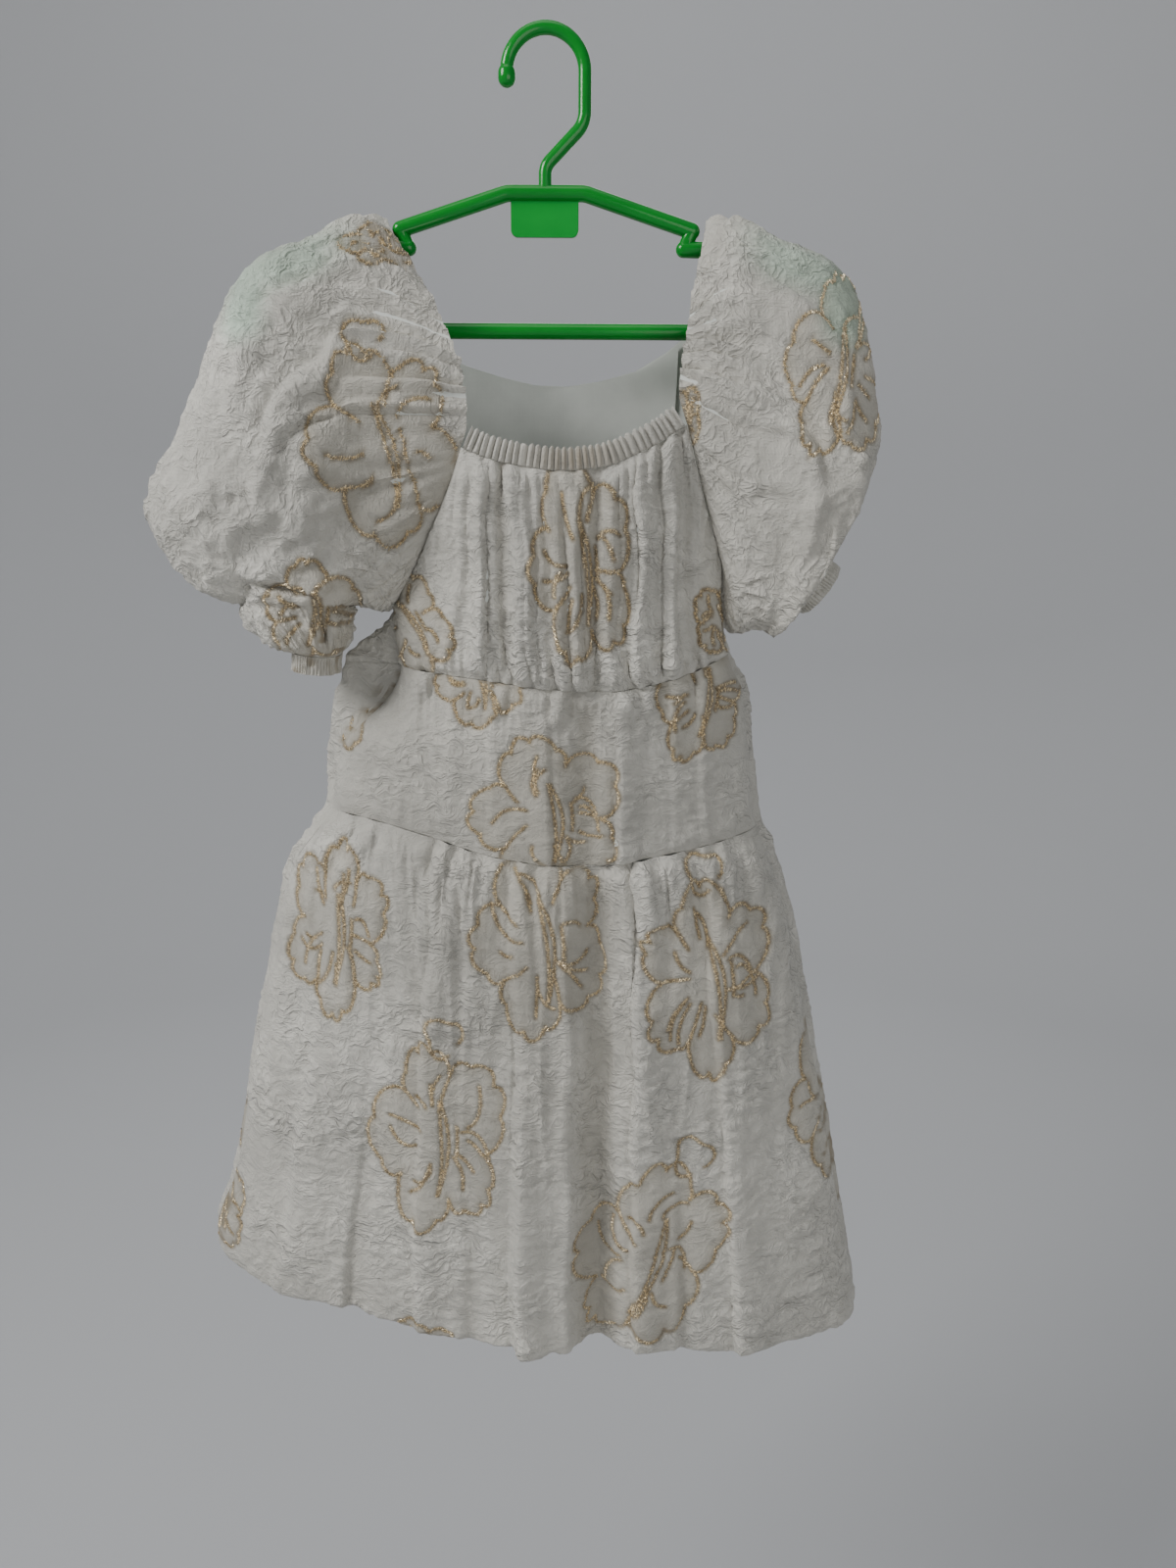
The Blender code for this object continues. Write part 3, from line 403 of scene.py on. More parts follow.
# Height of all folds at a place: a ridge falls to nothing over its left and right slope.
def foldHeight(folds, x, v):
    height = np.zeros(np.broadcast(x, v).shape)
    for index in range(len(folds["topX"])):
        middle = mix(folds["topX"][index], folds["bottomX"][index], v)
        high = mix(folds["topHigh"][index], folds["bottomHigh"][index], v)
        away = x - middle
        slope = np.where(away < 0, folds["left"][index], folds["right"][index])
        height += high * np.cos(np.pi / 2 * np.clip(away / slope, -1, 1)) ** 2
    return height


# Folds of the back run from the neck to the hem across all its panels.
def backLift(s, points):
    down = np.clip((points[..., 2] + 165) / (165 - 790), 0, 1)
    belowNeck = read(backSeams, "neck", s, "s") - points[..., 2]
    height = foldHeight(backFolds, points[..., 0], down)
    return height * (0.35 + 0.65 * down) * ramp(0, 50, belowNeck) * edgeFade(s, 0.16)


# Nothing at both side seams, all beyond the reach.
def edgeFade(s, reach):
    return ramp(0, reach, s) * ramp(0, reach, 1 - s)


# Cloth drawn in at the seams above and below: less by e to the power of the way from them.
def seamDip(v, depth):
    return -depth * (np.exp(-v / 0.03) + np.exp(-(1 - v) / 0.03))


# Gathers are waves across a seam that die away from it.
def gathers(s, count, height, fade):
    wander = 0.35 * np.sin(2 * np.pi * (2.3 * s + 0.1))
    wander = wander + 0.22 * np.sin(2 * np.pi * (5.1 * s + 0.4))
    return height * fade * np.cos(2 * np.pi * (count * s + wander))


# Columns of a bodice panel: they start up the left raglan seam, along the neck and down
# the right raglan seam, and end along the empire seam.
def bodiceColumns(seams, raglan, neck, corners, casing):
    neckZ = read(seams, "neck", np.array([0.0, 1.0]), "s") - casing
    up = np.linspace(0, 1, raglan + 1)
    across = np.linspace(0, 1, neck + 1)[1:-1]
    sTop = np.concatenate([0 * up, across, 1 + 0 * up])
    zLeft = mix(underarmZ["left"], neckZ[0], up)
    zRight = mix(neckZ[1], underarmZ["right"], up)
    zTop = np.concatenate([zLeft, read(seams, "neck", across, "s") - casing, zRight])
    side = np.concatenate([[0.0, 0.008], np.linspace(0.03, corners[0], raglan - 1)])
    other = np.concatenate([np.linspace(corners[1], 0.97, raglan - 1), [0.992, 1.0]])
    sLow = np.concatenate([side, mix(corners[0], corners[1], across), other])
    return sTop, zTop, sLow


# Rows of a bodice panel between its top and the empire seam, closer together near the top.
def bodicePoints(columns, rows, point, seams):
    sTop, zTop, sLow = columns
    v = np.linspace(0, 1, rows + 1)[:, None]
    zLow = read(seams, "empire", sLow, "s") + seamGap / 2
    s = mix(sTop, sLow, 1 - (1 - v) ** 2.2)
    return s, v, point(s, mix(zTop, zLow, v))


def seamPlace(source, side, z):
    return np.stack([read(source, side + "X", z), read(source, side + "Y", z), z], axis=-1)


# The sleeve's first ring: up the front raglan seam, over the shoulder along the neck edge
# and down the back raglan seam.
def ringZero(side, turn):
    edge = leftNeckEdge if side == "left" else rightNeckEdge
    out = -1 if side == "left" else 1
    frontEnd, backEnd = shoulderStart / sleeveColumns, shoulderEnd / sleeveColumns
    low = underarmZ[side]
    neckZ = read(frontSeams, "neck", np.array(0.0 if side == "left" else 1.0), "s")
    stations = [0, raglanColumns / sleeveColumns, frontEnd]
    zUp = np.interp(turn, stations, [low, neckZ - casingHeight - seamGap, edge["z"][0]])
    front = seamPlace(frontForm, side, zUp)
    down = np.clip((turn - backEnd) / (1 - backEnd), 0, 1)
    zDown = mix(edge["z"][-1], low, down)
    back = seamPlace(backForm, side, zDown)
    share = np.interp(turn, [frontEnd, 0.5, backEnd], [0.0, 0.5, 1.0])
    neck = np.stack([read(edge, axis, share, "share") for axis in "xyz"], axis=-1)
    ring = np.where((turn < frontEnd)[..., None], front, neck)
    ring = np.where((turn > backEnd)[..., None], back, ring)
    atSeam = 1 - ramp(frontEnd, frontEnd + 0.05, turn) * ramp(backEnd, backEnd - 0.05, turn)
    ring[..., 0] += out * seamGap * atSeam
    return ring


# The sleeve's other rings: ovals between their outer and underarm ends, squarer at the
# outer end, by powers of the cosine and the sine.
def ringTable(rows, turn):
    angle = 2 * np.pi * turn
    c, s = np.cos(angle), np.sin(angle)
    along = np.sign(c) * np.abs(c) ** np.where(c > 0, 0.85, 1.3)
    bulge = np.abs(s) ** 0.8
    rings = []
    for k in range(len(rows["u"])):
        x = mix(rows["outX"][k], rows["inX"][k], (1 + along) / 2)
        z = mix(rows["outZ"][k], rows["inZ"][k], (1 + along) / 2)
        sideY = np.where(s > 0, rows["frontY"][k], rows["backY"][k])
        y = mix(rows["midY"][k], sideY, bulge)
        rings.append(np.stack([x, y, z], axis=-1))
    return rings


# The sleeve without folds: a smooth curve along each turn through all the rings.
def sleeveBase(side, turn, u):
    rows = leftSleeveRings if side == "left" else rightSleeveRings
    controls = np.array([ringZero(side, turn)] + ringTable(rows, turn))
    knots = np.concatenate([[0.0], rows["u"]])
    return smoothThrough(knots, controls, u)


# Height of the sleeve's folds, gathers at the neck edge and gathers above the cuff.
def sleeveLift(side, turn, u):
    folds = leftSleeveFolds if side == "left" else rightSleeveFolds
    lift = np.zeros(np.broadcast(turn, u).shape)
    for k in range(len(folds["width"])):
        start, end = folds["startU"][k], folds["endU"][k]
        share = np.clip((u - start) / (end - start), 0, 1)
        middle = mix(folds["startTurn"][k], folds["endTurn"][k], share)
        away = np.clip((turn - middle) / folds["width"][k], -1, 1)
        fade = ramp(start - 0.04, start + 0.10, u) * ramp(end + 0.02, end - 0.10, u)
        lift += folds["high"][k] * fade * np.cos(np.pi / 2 * away) ** 2
    neck = ramp(0.27, 0.31, turn) * ramp(0.64, 0.60, turn) * ramp(0.16, 0.0, u)
    lift += 0.9 * neck * np.cos(2 * np.pi * sleeveNeckWaves * turn)
    cuff = ramp(0.84, 0.93, u) * ramp(1.0, 0.95, u)
    lift += 1.2 * cuff * np.cos(2 * np.pi * cuffWaves * turn)
    if side == "left":
        fold = 0.87 - 0.13 * ramp(0.44, 0.16, turn)
        across = ramp(0.10, 0.2, turn) * ramp(0.54, 0.46, turn)
        lift -= 7.5 * np.exp(-((u - fold) / 0.024) ** 2) * across
    return lift * ramp(0.0, 0.05, u + 0.04 * ramp(0.25, 0.3, turn) * ramp(0.66, 0.6, turn))


# A path through corners, each rounded to its radius.
def roundedPath(rows, stepDegrees=15):
    corners = np.stack([rows["x"], rows["z"]], axis=1)
    path = [corners[0]]
    for k in range(1, len(corners) - 1):
        before = corners[k - 1] - corners[k]
        after = corners[k + 1] - corners[k]
        before = before / np.linalg.norm(before)
        after = after / np.linalg.norm(after)
        opening = math.acos(float(np.clip(before @ after, -1, 1)))
        radius = rows["radius"][k]
        reach = radius / math.tan(opening / 2)
        start, end = corners[k] + before * reach, corners[k] + after * reach
        bisector = (before + after) / np.linalg.norm(before + after)
        centre = corners[k] + bisector * (radius / math.sin(opening / 2))
        turn = math.pi - opening
        count = max(2, int(round(math.degrees(turn) / stepDegrees)))
        first, last = start - centre, end - centre
        for i in range(count + 1):
            w = i / count
            arc = (math.sin((1 - w) * turn) * first + math.sin(w * turn) * last) / math.sin(turn)
            path.append(centre + arc)
    path.append(corners[-1])
    return np.array(path)


latticeSteps = np.array([374761393, 668265263, 1440662683])
seedStep = 974634777
mixStep = 1274126177
lowBits = 0xFFFFFFFF


# Slopes at the corners of a lattice, blended inside each cell: smooth noise, about -1 to 1.
def cloudNoise(p, seed):
    cell = np.floor(p).astype(np.int64)
    part = p - cell
    blend = part ** 3 * (part * (part * 6 - 15) + 10)
    total = np.zeros(p.shape[:-1])
    for corner in np.ndindex(2, 2, 2):
        at = cell + np.array(corner)
        h = ((at * latticeSteps).sum(axis=-1) + seed * seedStep) & lowBits
        h = ((h ^ (h >> 13)) * mixStep) & lowBits
        h = h ^ (h >> 16)
        away = part - np.array(corner)
        slope = np.stack([(h >> shift & 1023) / 511.5 - 1 for shift in (0, 10, 20)], axis=-1)
        weight = np.prod(np.where(np.array(corner), blend, 1 - blend), axis=-1)
        total += (slope * away).sum(axis=-1) * weight
    return total * 1.6


# The same noise at places given by three shares of any fitting shapes.
def cloudAt(seed, *shares):
    return cloudNoise(np.stack(np.broadcast_arrays(*shares), axis=-1), seed)


# Creases along the zero lines of noise: (1 - 1.7 |noise|) to a power. A size that is long in
# one way and narrow in another draws them out into soft runs.
def creases(p, size, seed, sharp=1.3):
    return np.clip(1 - np.abs(cloudNoise(p / np.array(size), seed)) * 1.7, 0, 1) ** sharp


# Crinkle of the crepe: long and short creases and small puffs on a drifting place, in patches.
def crinkle(p, look):
    drift = np.stack([cloudNoise(p / 21 + 7.3 * k, 11 + k) for k in range(3)], axis=-1)
    q = p + drift * look["drift"]
    high = look["long"] * creases(q, look["longSize"], 21, 2.2)
    high += look["short"] * creases(q + 90, look["shortSize"], 22, 1.6)
    high += look["puff"] * cloudNoise(q / np.array(look["puffSize"]), 23)
    patch = ramp(-0.35, 0.35, cloudNoise(p / look["patchSize"], 31))
    return high * mix(look["calm"], 1.0, patch)


# A row of numbers drawn out to a finer one, straight between its entries.
def drawnOut(values, factor):
    places = np.arange(len(values))
    return np.interp(np.linspace(0, len(values) - 1, (len(values) - 1) * factor + 1), places, values)


# Which way a grid faces: across its downward and sideways steps.
def gridNormals(points, ring, turned):
    if ring:
        padded = np.concatenate([points[:, -1:], points, points[:, :1]], axis=1)
        across = (padded[:, 2:] - padded[:, :-2]) / 2
    else:
        across = np.gradient(points, axis=1)
    down = np.gradient(points, axis=0)
    normals = np.cross(down, across)
    normals /= np.maximum(np.linalg.norm(normals, axis=-1, keepdims=True), 1e-9)
    return -normals if turned else normals


def gridQuads(ids):
    corners = [ids[:-1, :-1], ids[1:, :-1], ids[1:, 1:], ids[:-1, 1:]]
    return np.stack(corners, axis=-1).reshape(-1, 4)


# A closed grid's numbers with the first column again after the last.
def closedRing(ids):
    return np.concatenate([ids, ids[:, :1]], axis=1)


# Rim of a wall whose outer side has step cells for each cell of its inner side.
def rimFaces(fine, coarse, step):
    half = step // 2
    count = len(coarse) - 1
    starts = fine[:-1].reshape(count, step)
    ends = fine[1:].reshape(count, step)
    near = np.where(np.arange(step) < half, coarse[:-1, None], coarse[1:, None])
    fans = np.stack([starts, ends, near], axis=-1).reshape(-1, 3)
    middles = np.stack([coarse[:-1], starts[:, half], coarse[1:]], axis=-1)
    return np.concatenate([fans, middles])


# The numbers around a grid's edge, once around and back to the first.
def outline(ids):
    return np.concatenate([ids[0], ids[1:, -1], ids[-1, ::-1][1:], ids[::-1, 0][1:]])


# A mesh of quads and triangles in millimetres, with its finishes and a number for each
# vertex in each mask.
def newMesh(name, points, quads, triangles, finishes, faceFinish=None, masks=None):
    mesh = bpy.data.meshes.new(name)
    mesh.vertices.add(len(points))
    mesh.vertices.foreach_set("co", (points * mm).astype(np.float32).ravel())
    corners = np.concatenate([quads.ravel(), triangles.ravel()]).astype(np.int32)
    sizes = np.concatenate([np.full(len(quads), 4), np.full(len(triangles), 3)])
    mesh.loops.add(len(corners))
    mesh.loops.foreach_set("vertex_index", corners)
    mesh.polygons.add(len(sizes))
    starts = np.concatenate([[0], np.cumsum(sizes)[:-1]])
    mesh.polygons.foreach_set("loop_start", starts.astype(np.int32))
    for finish in finishes:
        mesh.materials.append(finish)
    if faceFinish is not None:
        mesh.polygons.foreach_set("material_index", faceFinish.astype(np.int32))
    mesh.update(calc_edges=True)
    for key, values in (masks or {}).items():
        layer = mesh.attributes.new(key, "FLOAT", "POINT")
        layer.data.foreach_set("value", values.astype(np.float32))
    mesh.shade_smooth()
    thing = bpy.data.objects.new(name, mesh)
    bpy.context.scene.collection.objects.link(thing)
    return thing


# A wall of cloth: a fine outer side, a coarser smooth inner side, and the rim between them.
def clothWallPiece(name, outer, inner, step, finishes, masks, ring=False, turned=False):
    rows, columns = outer.shape[:2]
    fine = np.arange(rows * columns).reshape(rows, columns)
    coarse = rows * columns + np.arange(inner.shape[0] * inner.shape[1]).reshape(inner.shape[:2])
    if ring:
        fine, coarse = closedRing(fine), closedRing(coarse)
        rims = [rimFaces(fine[0], coarse[0], step),
                rimFaces(fine[-1, ::-1], coarse[-1, ::-1], step)]
    else:
        rims = [rimFaces(outline(fine), outline(coarse), step)]
    fronts, backs = gridQuads(fine), gridQuads(coarse)[:, ::-1]
    quads = np.concatenate([fronts, backs])
    triangles = np.concatenate(rims)
    if turned:
        quads, triangles = quads[:, ::-1], triangles[:, ::-1]
    points = np.concatenate([outer.reshape(-1, 3), inner.reshape(-1, 3)])
    faceFinish = np.repeat([0, 1, 0], [len(fronts), len(backs), len(triangles)])
    blank = np.zeros(inner.shape[0] * inner.shape[1])
    masks = {key: np.concatenate([values.ravel(), blank]) for key, values in masks.items()}
    piece = newMesh(name, points, quads, triangles, finishes, faceFinish, masks)
    piece.data.set_sharp_from_angle(angle=math.radians(65))
    return piece


# Between four neighbours of a grid, by the shares of the way from one to the next.
def gridRead(grid, row, column):
    r = np.clip(np.floor(row).astype(int), 0, grid.shape[0] - 2)
    c = np.clip(np.floor(column).astype(int), 0, grid.shape[1] - 2)
    down, along = (row - r)[:, None], (column - c)[:, None]
    top = mix(grid[r, c], grid[r, c + 1], along)
    low = mix(grid[r + 1, c], grid[r + 1, c + 1], along)
    return mix(top, low, down)


findLook = {"skip": 6, "batch": 500, "steps": 9, "longest": 8, "near": 0.5}


# Rows and columns of a grid whose keys are the targets: the nearest of every sixth point,
# then steps along the keys' own slopes until they meet.
def gridFind(keys, targets):
    skip, longest = findLook["skip"], findLook["longest"]
    loose = keys[::skip, ::skip]
    flat = loose.reshape(-1, 2)
    batches = np.array_split(targets, max(1, len(targets) // findLook["batch"]))
    nearest = np.concatenate([((batch[:, None] - flat[None]) ** 2).sum(-1).argmin(1)
                              for batch in batches])
    row = (nearest // loose.shape[1]) * float(skip)
    column = (nearest % loose.shape[1]) * float(skip)
    for _ in range(findLook["steps"]):
        missing = targets - gridRead(keys, row, column)
        byRow = gridRead(keys, row + 0.5, column) - gridRead(keys, row - 0.5, column)
        byColumn = gridRead(keys, row, column + 0.5) - gridRead(keys, row, column - 0.5)
        area = byRow[:, 0] * byColumn[:, 1] - byRow[:, 1] * byColumn[:, 0]
        area = np.where(np.abs(area) < 1e-3, 1e-3, area)
        moveRow = (missing[:, 0] * byColumn[:, 1] - missing[:, 1] * byColumn[:, 0]) / area
        moveColumn = (byRow[:, 0] * missing[:, 1] - byRow[:, 1] * missing[:, 0]) / area
        row = np.clip(row + np.clip(moveRow, -longest, longest), 0, keys.shape[0] - 1.001)
        column = np.clip(column + np.clip(moveColumn, -longest, longest), 0, keys.shape[1] - 1.001)
    met = np.linalg.norm(targets - gridRead(keys, row, column), axis=1) < findLook["near"]
    return row, column, met


# Lines of an open garden flower, as wide and tall as given: ruffled petals whose edges run
# in towards the middle, one to three bent veins in each, a long stamen and a small bud on top.
def flowerLines(wide, tall, turn, petals, seed, bud):
    draw = np.random.default_rng(seed)
    lines, rim = [], []
    starts = 2 * np.pi * (np.arange(petals + 1) + 0.15 * draw.uniform(-1, 1, petals + 1)) / petals
    starts[-1] = starts[0] + 2 * np.pi
    for k in range(petals):
        t = np.linspace(0, 1, 60)
        size, waves, shift = draw.uniform(0.86, 1.07), draw.uniform(2.3, 3.7), draw.random()
        reach = 0.66 + (0.34 * size) * np.sin(np.pi * t) ** 0.5
        frill = np.abs(np.cos(np.pi * (waves * t + shift))) ** 0.6 - 0.6
        reach += 0.11 * frill * np.sin(np.pi * t) ** 0.4
        angle = mix(starts[k], starts[k + 1], t) + 0.07 * np.sin(2 * np.pi * t)
        arc = np.stack([np.cos(angle), np.sin(angle)], axis=1) * reach[:, None]
        rim.append(arc)
        lead = np.linspace(draw.uniform(0.24, 0.44), 0.65, 9)
        bend = starts[k] + draw.uniform(-1.2, 1.2) * (0.66 - lead)
        notch = np.stack([np.cos(bend), np.sin(bend)], axis=1) * lead[:, None]
        lines.append(np.concatenate([notch, arc]) if draw.random() < 0.75 else arc)
        t = np.linspace(0, 1, 14)
        for _ in range(draw.integers(1, 4)):
            way = mix(starts[k], starts[k + 1], draw.uniform(0.22, 0.78))
            radius = mix(draw.uniform(0.26, 0.46), draw.uniform(0.54, 0.80), t)
            angle = way + draw.uniform(-0.6, 0.6) * t ** 2
            lines.append(np.stack([np.cos(angle), np.sin(angle)], axis=1) * radius[:, None])
    t = np.linspace(0, 1, 24)
    lean = draw.uniform(-0.5, 0.5)
    middle = np.stack([0.12 * np.sin(2.8 * t + lean) + lean * 0.35 * t, 0.40 - 1.0 * t], axis=1)
    thick = np.sin(np.pi * np.clip(t, 0.03, 0.97))[:, None] ** 0.5
    side = np.stack([0.04 + 0.015 * np.sin(5 * t), 0 * t], axis=1) * thick
    lines.append(np.concatenate([middle + side, (middle - side)[::-1], (middle + side)[:1]]))
    lines.append((middle + [0.17, 0.10])[8:17])
    if bud:
        a = np.linspace(-0.4, 2 * np.pi - 1.2, 30)
        radius = 0.19 + 0.035 * np.sin(3 * a + 0.6)
        lines.append(np.stack([np.cos(a) * radius * 1.3, 1.05 + np.sin(a) * radius], axis=1))
    c, s = math.cos(math.radians(turn)), math.sin(math.radians(turn))
    spin = np.array([[c, s], [-s, c]])
    scale = np.array([wide, tall]) / 2
    return [(line * scale) @ spin for line in lines], (np.concatenate(rim) * scale) @ spin


# Whether places are inside a closed outline: an odd number of its sides lies to their left.
def insideOutline(places, rim):
    start, end = rim, np.roll(rim, -1, axis=0)
    x, z = places[:, None, 0], places[:, None, 1]
    spans = (start[None, :, 1] > z) != (end[None, :, 1] > z)
    rise = end[None, :, 1] - start[None, :, 1]
    rise = np.where(np.abs(rise) < 1e-9, 1e-9, rise)
    cross = start[None, :, 0] + (z - start[None, :, 1]) * (end - start)[None, :, 0] / rise
    return (spans & (x < cross)).sum(axis=1) % 2 == 1


# The least way from each place to the lines, foot by foot on their straight steps.
def distanceToLines(places, lines):
    nearest = np.full(len(places), 99.0)
    for line in lines:
        start, way = line[:-1], np.diff(line, axis=0)
        length = np.maximum((way ** 2).sum(axis=1), 1e-9)
        along = ((places[:, None] - start[None]) * way[None]).sum(-1) / length
        foot = start[None] + way[None] * np.clip(along, 0, 1)[..., None]
        nearest = np.minimum(nearest, np.sqrt(((places[:, None] - foot) ** 2).sum(-1)).min(axis=1))
    return nearest


# The lines and rim of each flower of a table, moved to its place.
def flowersOf(flowers):
    made = []
    for x, z, wide, tall, turn, petals, seed, bud in zip(*flowers.values()):
        lines, rim = flowerLines(wide, tall, turn, int(petals), int(seed), bud > 0)
        middle = np.array([x, z])
        made.append(([line + middle for line in lines], rim + middle))
    return made


# How near each place of a panel is to a flower's line (1 on it, 0 beyond, with a soft streaky
# cast inside the rim), and whether it lies in a flower.
def flowerMasks(keys, flowers):
    flat = keys.reshape(-1, 2)
    line, petal = np.zeros(len(flat)), np.zeros(len(flat))
    for lines, rim in flowers:
        spread = np.concatenate(lines)
        close = np.all((flat > spread.min(0) - 4) & (flat < spread.max(0) + 4), axis=1)
        if not close.any():
            continue
        places = flat[close]
        inside = insideOutline(places, rim)
        streaks = 0.65 + 0.5 * cloudAt(91, places[:, 0] / 2.6, 0.0, places[:, 1] / 2.6)
        soft = 0.42 * inside * (1 - ramp(1.0, 8.5, distanceToLines(places, [rim]))) * streaks
        drawn = 1 - ramp(0.6, 2.4, distanceToLines(places, lines))
        line[close] = np.maximum(line[close], np.maximum(drawn, soft))
        petal[close] = np.maximum(petal[close], inside)
    return line.reshape(keys.shape[:2]), petal.reshape(keys.shape[:2])


# Places at even spacing along a line, and the line's way there.
def evenAlong(line, spacing):
    steps = np.linalg.norm(np.diff(line, axis=0), axis=1)
    run = np.concatenate([[0], np.cumsum(steps)])
    at = np.arange(spacing / 2, run[-1], spacing)
    places = np.stack([np.interp(at, run, line[:, k]) for k in (0, 1)], axis=1)
    ahead = np.stack([np.interp(at + 0.4, run, line[:, k]) for k in (0, 1)], axis=1)
    behind = np.stack([np.interp(at - 0.4, run, line[:, k]) for k in (0, 1)], axis=1)
    return places, ahead - behind


stitchLook = {"long": 1.3, "wide": 0.36, "high": 0.6, "slant": 64.0, "loose": 20.0,
              "stray": 0.25, "above": 0.05, "ridge": 0.55}


# Short gold stitches across each line: small roofs with a ridge, laid on the cloth.
def stitches(name, flowers, keys, surface, normals, finish, seed, spacing):
    draw = np.random.default_rng(seed)
    places, ways = [], []
    for lines, rim in flowers:
        for line in lines:
            at, way = evenAlong(line, spacing)
            places.append(at)
            ways.append(way)
    places, ways = np.concatenate(places), np.concatenate(ways)
    low, high = keys.reshape(-1, 2).min(0), keys.reshape(-1, 2).max(0)
    on = np.all((places > low) & (places < high), axis=1)
    places, ways = places[on], ways[on]
    row, column, met = gridFind(keys, places)
    nextRow, nextColumn, nextMet = gridFind(keys, places + ways * 0.5)
    met &= nextMet & (row > 1) & (row < keys.shape[0] - 3)
    met &= (column > 1) & (column < keys.shape[1] - 3)
    row, column, nextRow, nextColumn = row[met], column[met], nextRow[met], nextColumn[met]
    middle = gridRead(surface, row, column)
    up = gridRead(normals, row, column)
    up /= np.linalg.norm(up, axis=1, keepdims=True)
    along = gridRead(surface, nextRow, nextColumn) - middle
    along -= up * (along * up).sum(axis=1, keepdims=True)
    along /= np.maximum(np.linalg.norm(along, axis=1, keepdims=True), 1e-6)
    side = np.cross(up, along)
    count = len(middle)
    slant = np.radians(stitchLook["slant"] + stitchLook["loose"] * draw.normal(size=count))[:, None]
    way = along * np.cos(slant) + side * np.sin(slant)
    width = np.cross(up, way)
    reach = (stitchLook["long"] * draw.uniform(0.7, 1.25, count))[:, None] * way
    half = stitchLook["wide"] * width
    stray = (stitchLook["stray"] * draw.normal(size=count))[:, None]
    middle = middle + side * stray + up * stitchLook["above"]
    rise = (stitchLook["high"] * draw.uniform(0.6, 1.2, count))[:, None] * up
    ridge = reach * stitchLook["ridge"]
    corners = np.stack([middle - reach - half, middle + reach - half, middle + reach + half,
                        middle - reach + half, middle - ridge + rise, middle + ridge + rise], axis=1)
    first = 6 * np.arange(count)[:, None, None]
    quads = (np.array([[0, 3, 2, 1], [0, 1, 5, 4], [2, 3, 4, 5]])[None] + first).reshape(-1, 4)
    triangles = (np.array([[1, 2, 5], [3, 0, 4]])[None] + first).reshape(-1, 3)
    thing = newMesh(name, corners.reshape(-1, 3), quads, triangles, [finish])
    thing.data.shade_flat()
    return thing


# How far a place may move: nothing at the seams, all of it a few cells away from them.
def borderFade(shape, top, bottom, sides, reach=5):
    rows, columns = np.meshgrid(np.arange(shape[0]), np.arange(shape[1]), indexing="ij")
    fade = np.ones(shape)
    if top:
        fade *= ramp(0, reach, rows)
    if bottom:
        fade *= ramp(0, reach, shape[0] - 1 - rows)
    if sides:
        fade *= ramp(0, reach, columns) * ramp(0, reach, shape[1] - 1 - columns)
    return fade


# A panel with its crinkles, its flowers' masks and its stitches. Height out of the form =
# crinkles, calmer and a little raised in a flower, less a groove along the flower's lines.
def finishPanel(name, form, look, finishes, flowers, seed, spacing, fade, turned=False, ring=False,
                cloth=None, extra=0.0, strength=1.0, parts=None, green=None, paintedShade=None):
    normals = gridNormals(form, ring, turned)
    height = crinkle(form if cloth is None else cloth, look) * strength + extra
    parts = parts or [(slice(0, form.shape[1]), flowers)]
    line, petal = np.zeros(form.shape[:2]), np.zeros(form.shape[:2])
    for span, made in parts:
        line[:, span], petal[:, span] = flowerMasks(form[:, span][..., [0, 2]], made)
    height = height * (1 - 0.35 * petal) - 0.7 * line + 0.35 * petal
    outer = form + normals * (height * fade)[..., None]
    inner = form[::3, ::3] - normals[::3, ::3] * clothWall
    # Besides the flower masks, the hanger's green and the painted shade are passed on as masks.
    masks = {"line": line, "petal": petal, "green": green, "paintedShade": paintedShade}
    masks = {key: values for key, values in masks.items() if values is not None}
    piece = clothWallPiece(name, outer, inner, 3, finishes, masks, ring, turned)
    threads = []
    for number, (span, made) in enumerate(parts):
        part = outer[:, span]
        keys = form[:, span][..., [0, 2]]
        up = gridNormals(part, False, turned)
        label = name.replace("Panel", "") + "GoldThread" + ("Back" if number else "")
        apart = spacing * (1.3 if number else 1)
        threads.append(stitches(label, made, keys, part, up, goldThread, seed + number, apart))
    return piece, threads


# The finishes

# Gives a socket a number or a colour, or links another socket into it.
def feed(tree, socket, value):
    if isinstance(value, bpy.types.NodeSocket):
        tree.links.new(value, socket)
    elif isinstance(value, tuple):
        socket.default_value = (*value, 1.0)
    else:
        socket.default_value = value


# An empty node group with its named inputs and outputs.
def effectGroup(name, inputs, outputs):
    group = bpy.data.node_groups.new(name, "ShaderNodeTree")
    for label, kind, value in inputs:
        socket = group.interface.new_socket(label, in_out="INPUT", socket_type=kind)
        if value is not None:
            socket.default_value = value
    for label, kind in outputs:
        group.interface.new_socket(label, in_out="OUTPUT", socket_type=kind)
    return group, group.nodes.new("NodeGroupInput"), group.nodes.new("NodeGroupOutput")


# Noise of a scale at a place that is first stretched along each axis.
def noiseNode(tree, vector, scale, detail=3.0, stretch=(1, 1, 1)):
    mapping = tree.nodes.new("ShaderNodeMapping")
    mapping.inputs["Scale"].default_value = stretch
    tree.links.new(vector, mapping.inputs["Vector"])
    noise = tree.nodes.new("ShaderNodeTexNoise")
    noise.inputs["Scale"].default_value = scale
    noise.inputs["Detail"].default_value = detail
    tree.links.new(mapping.outputs["Vector"], noise.inputs["Vector"])
    return noise.outputs["Fac"]


def mathNode(tree, operation, first, second):
    node = tree.nodes.new("ShaderNodeMath")
    node.operation = operation
    feed(tree, node.inputs[0], first)
    feed(tree, node.inputs[1], second)
    return node.outputs[0]


# First times second, and first plus second.
def times(tree, first, second):
    return mathNode(tree, "MULTIPLY", first, second)


def plus(tree, first, second):
    return mathNode(tree, "ADD", first, second)


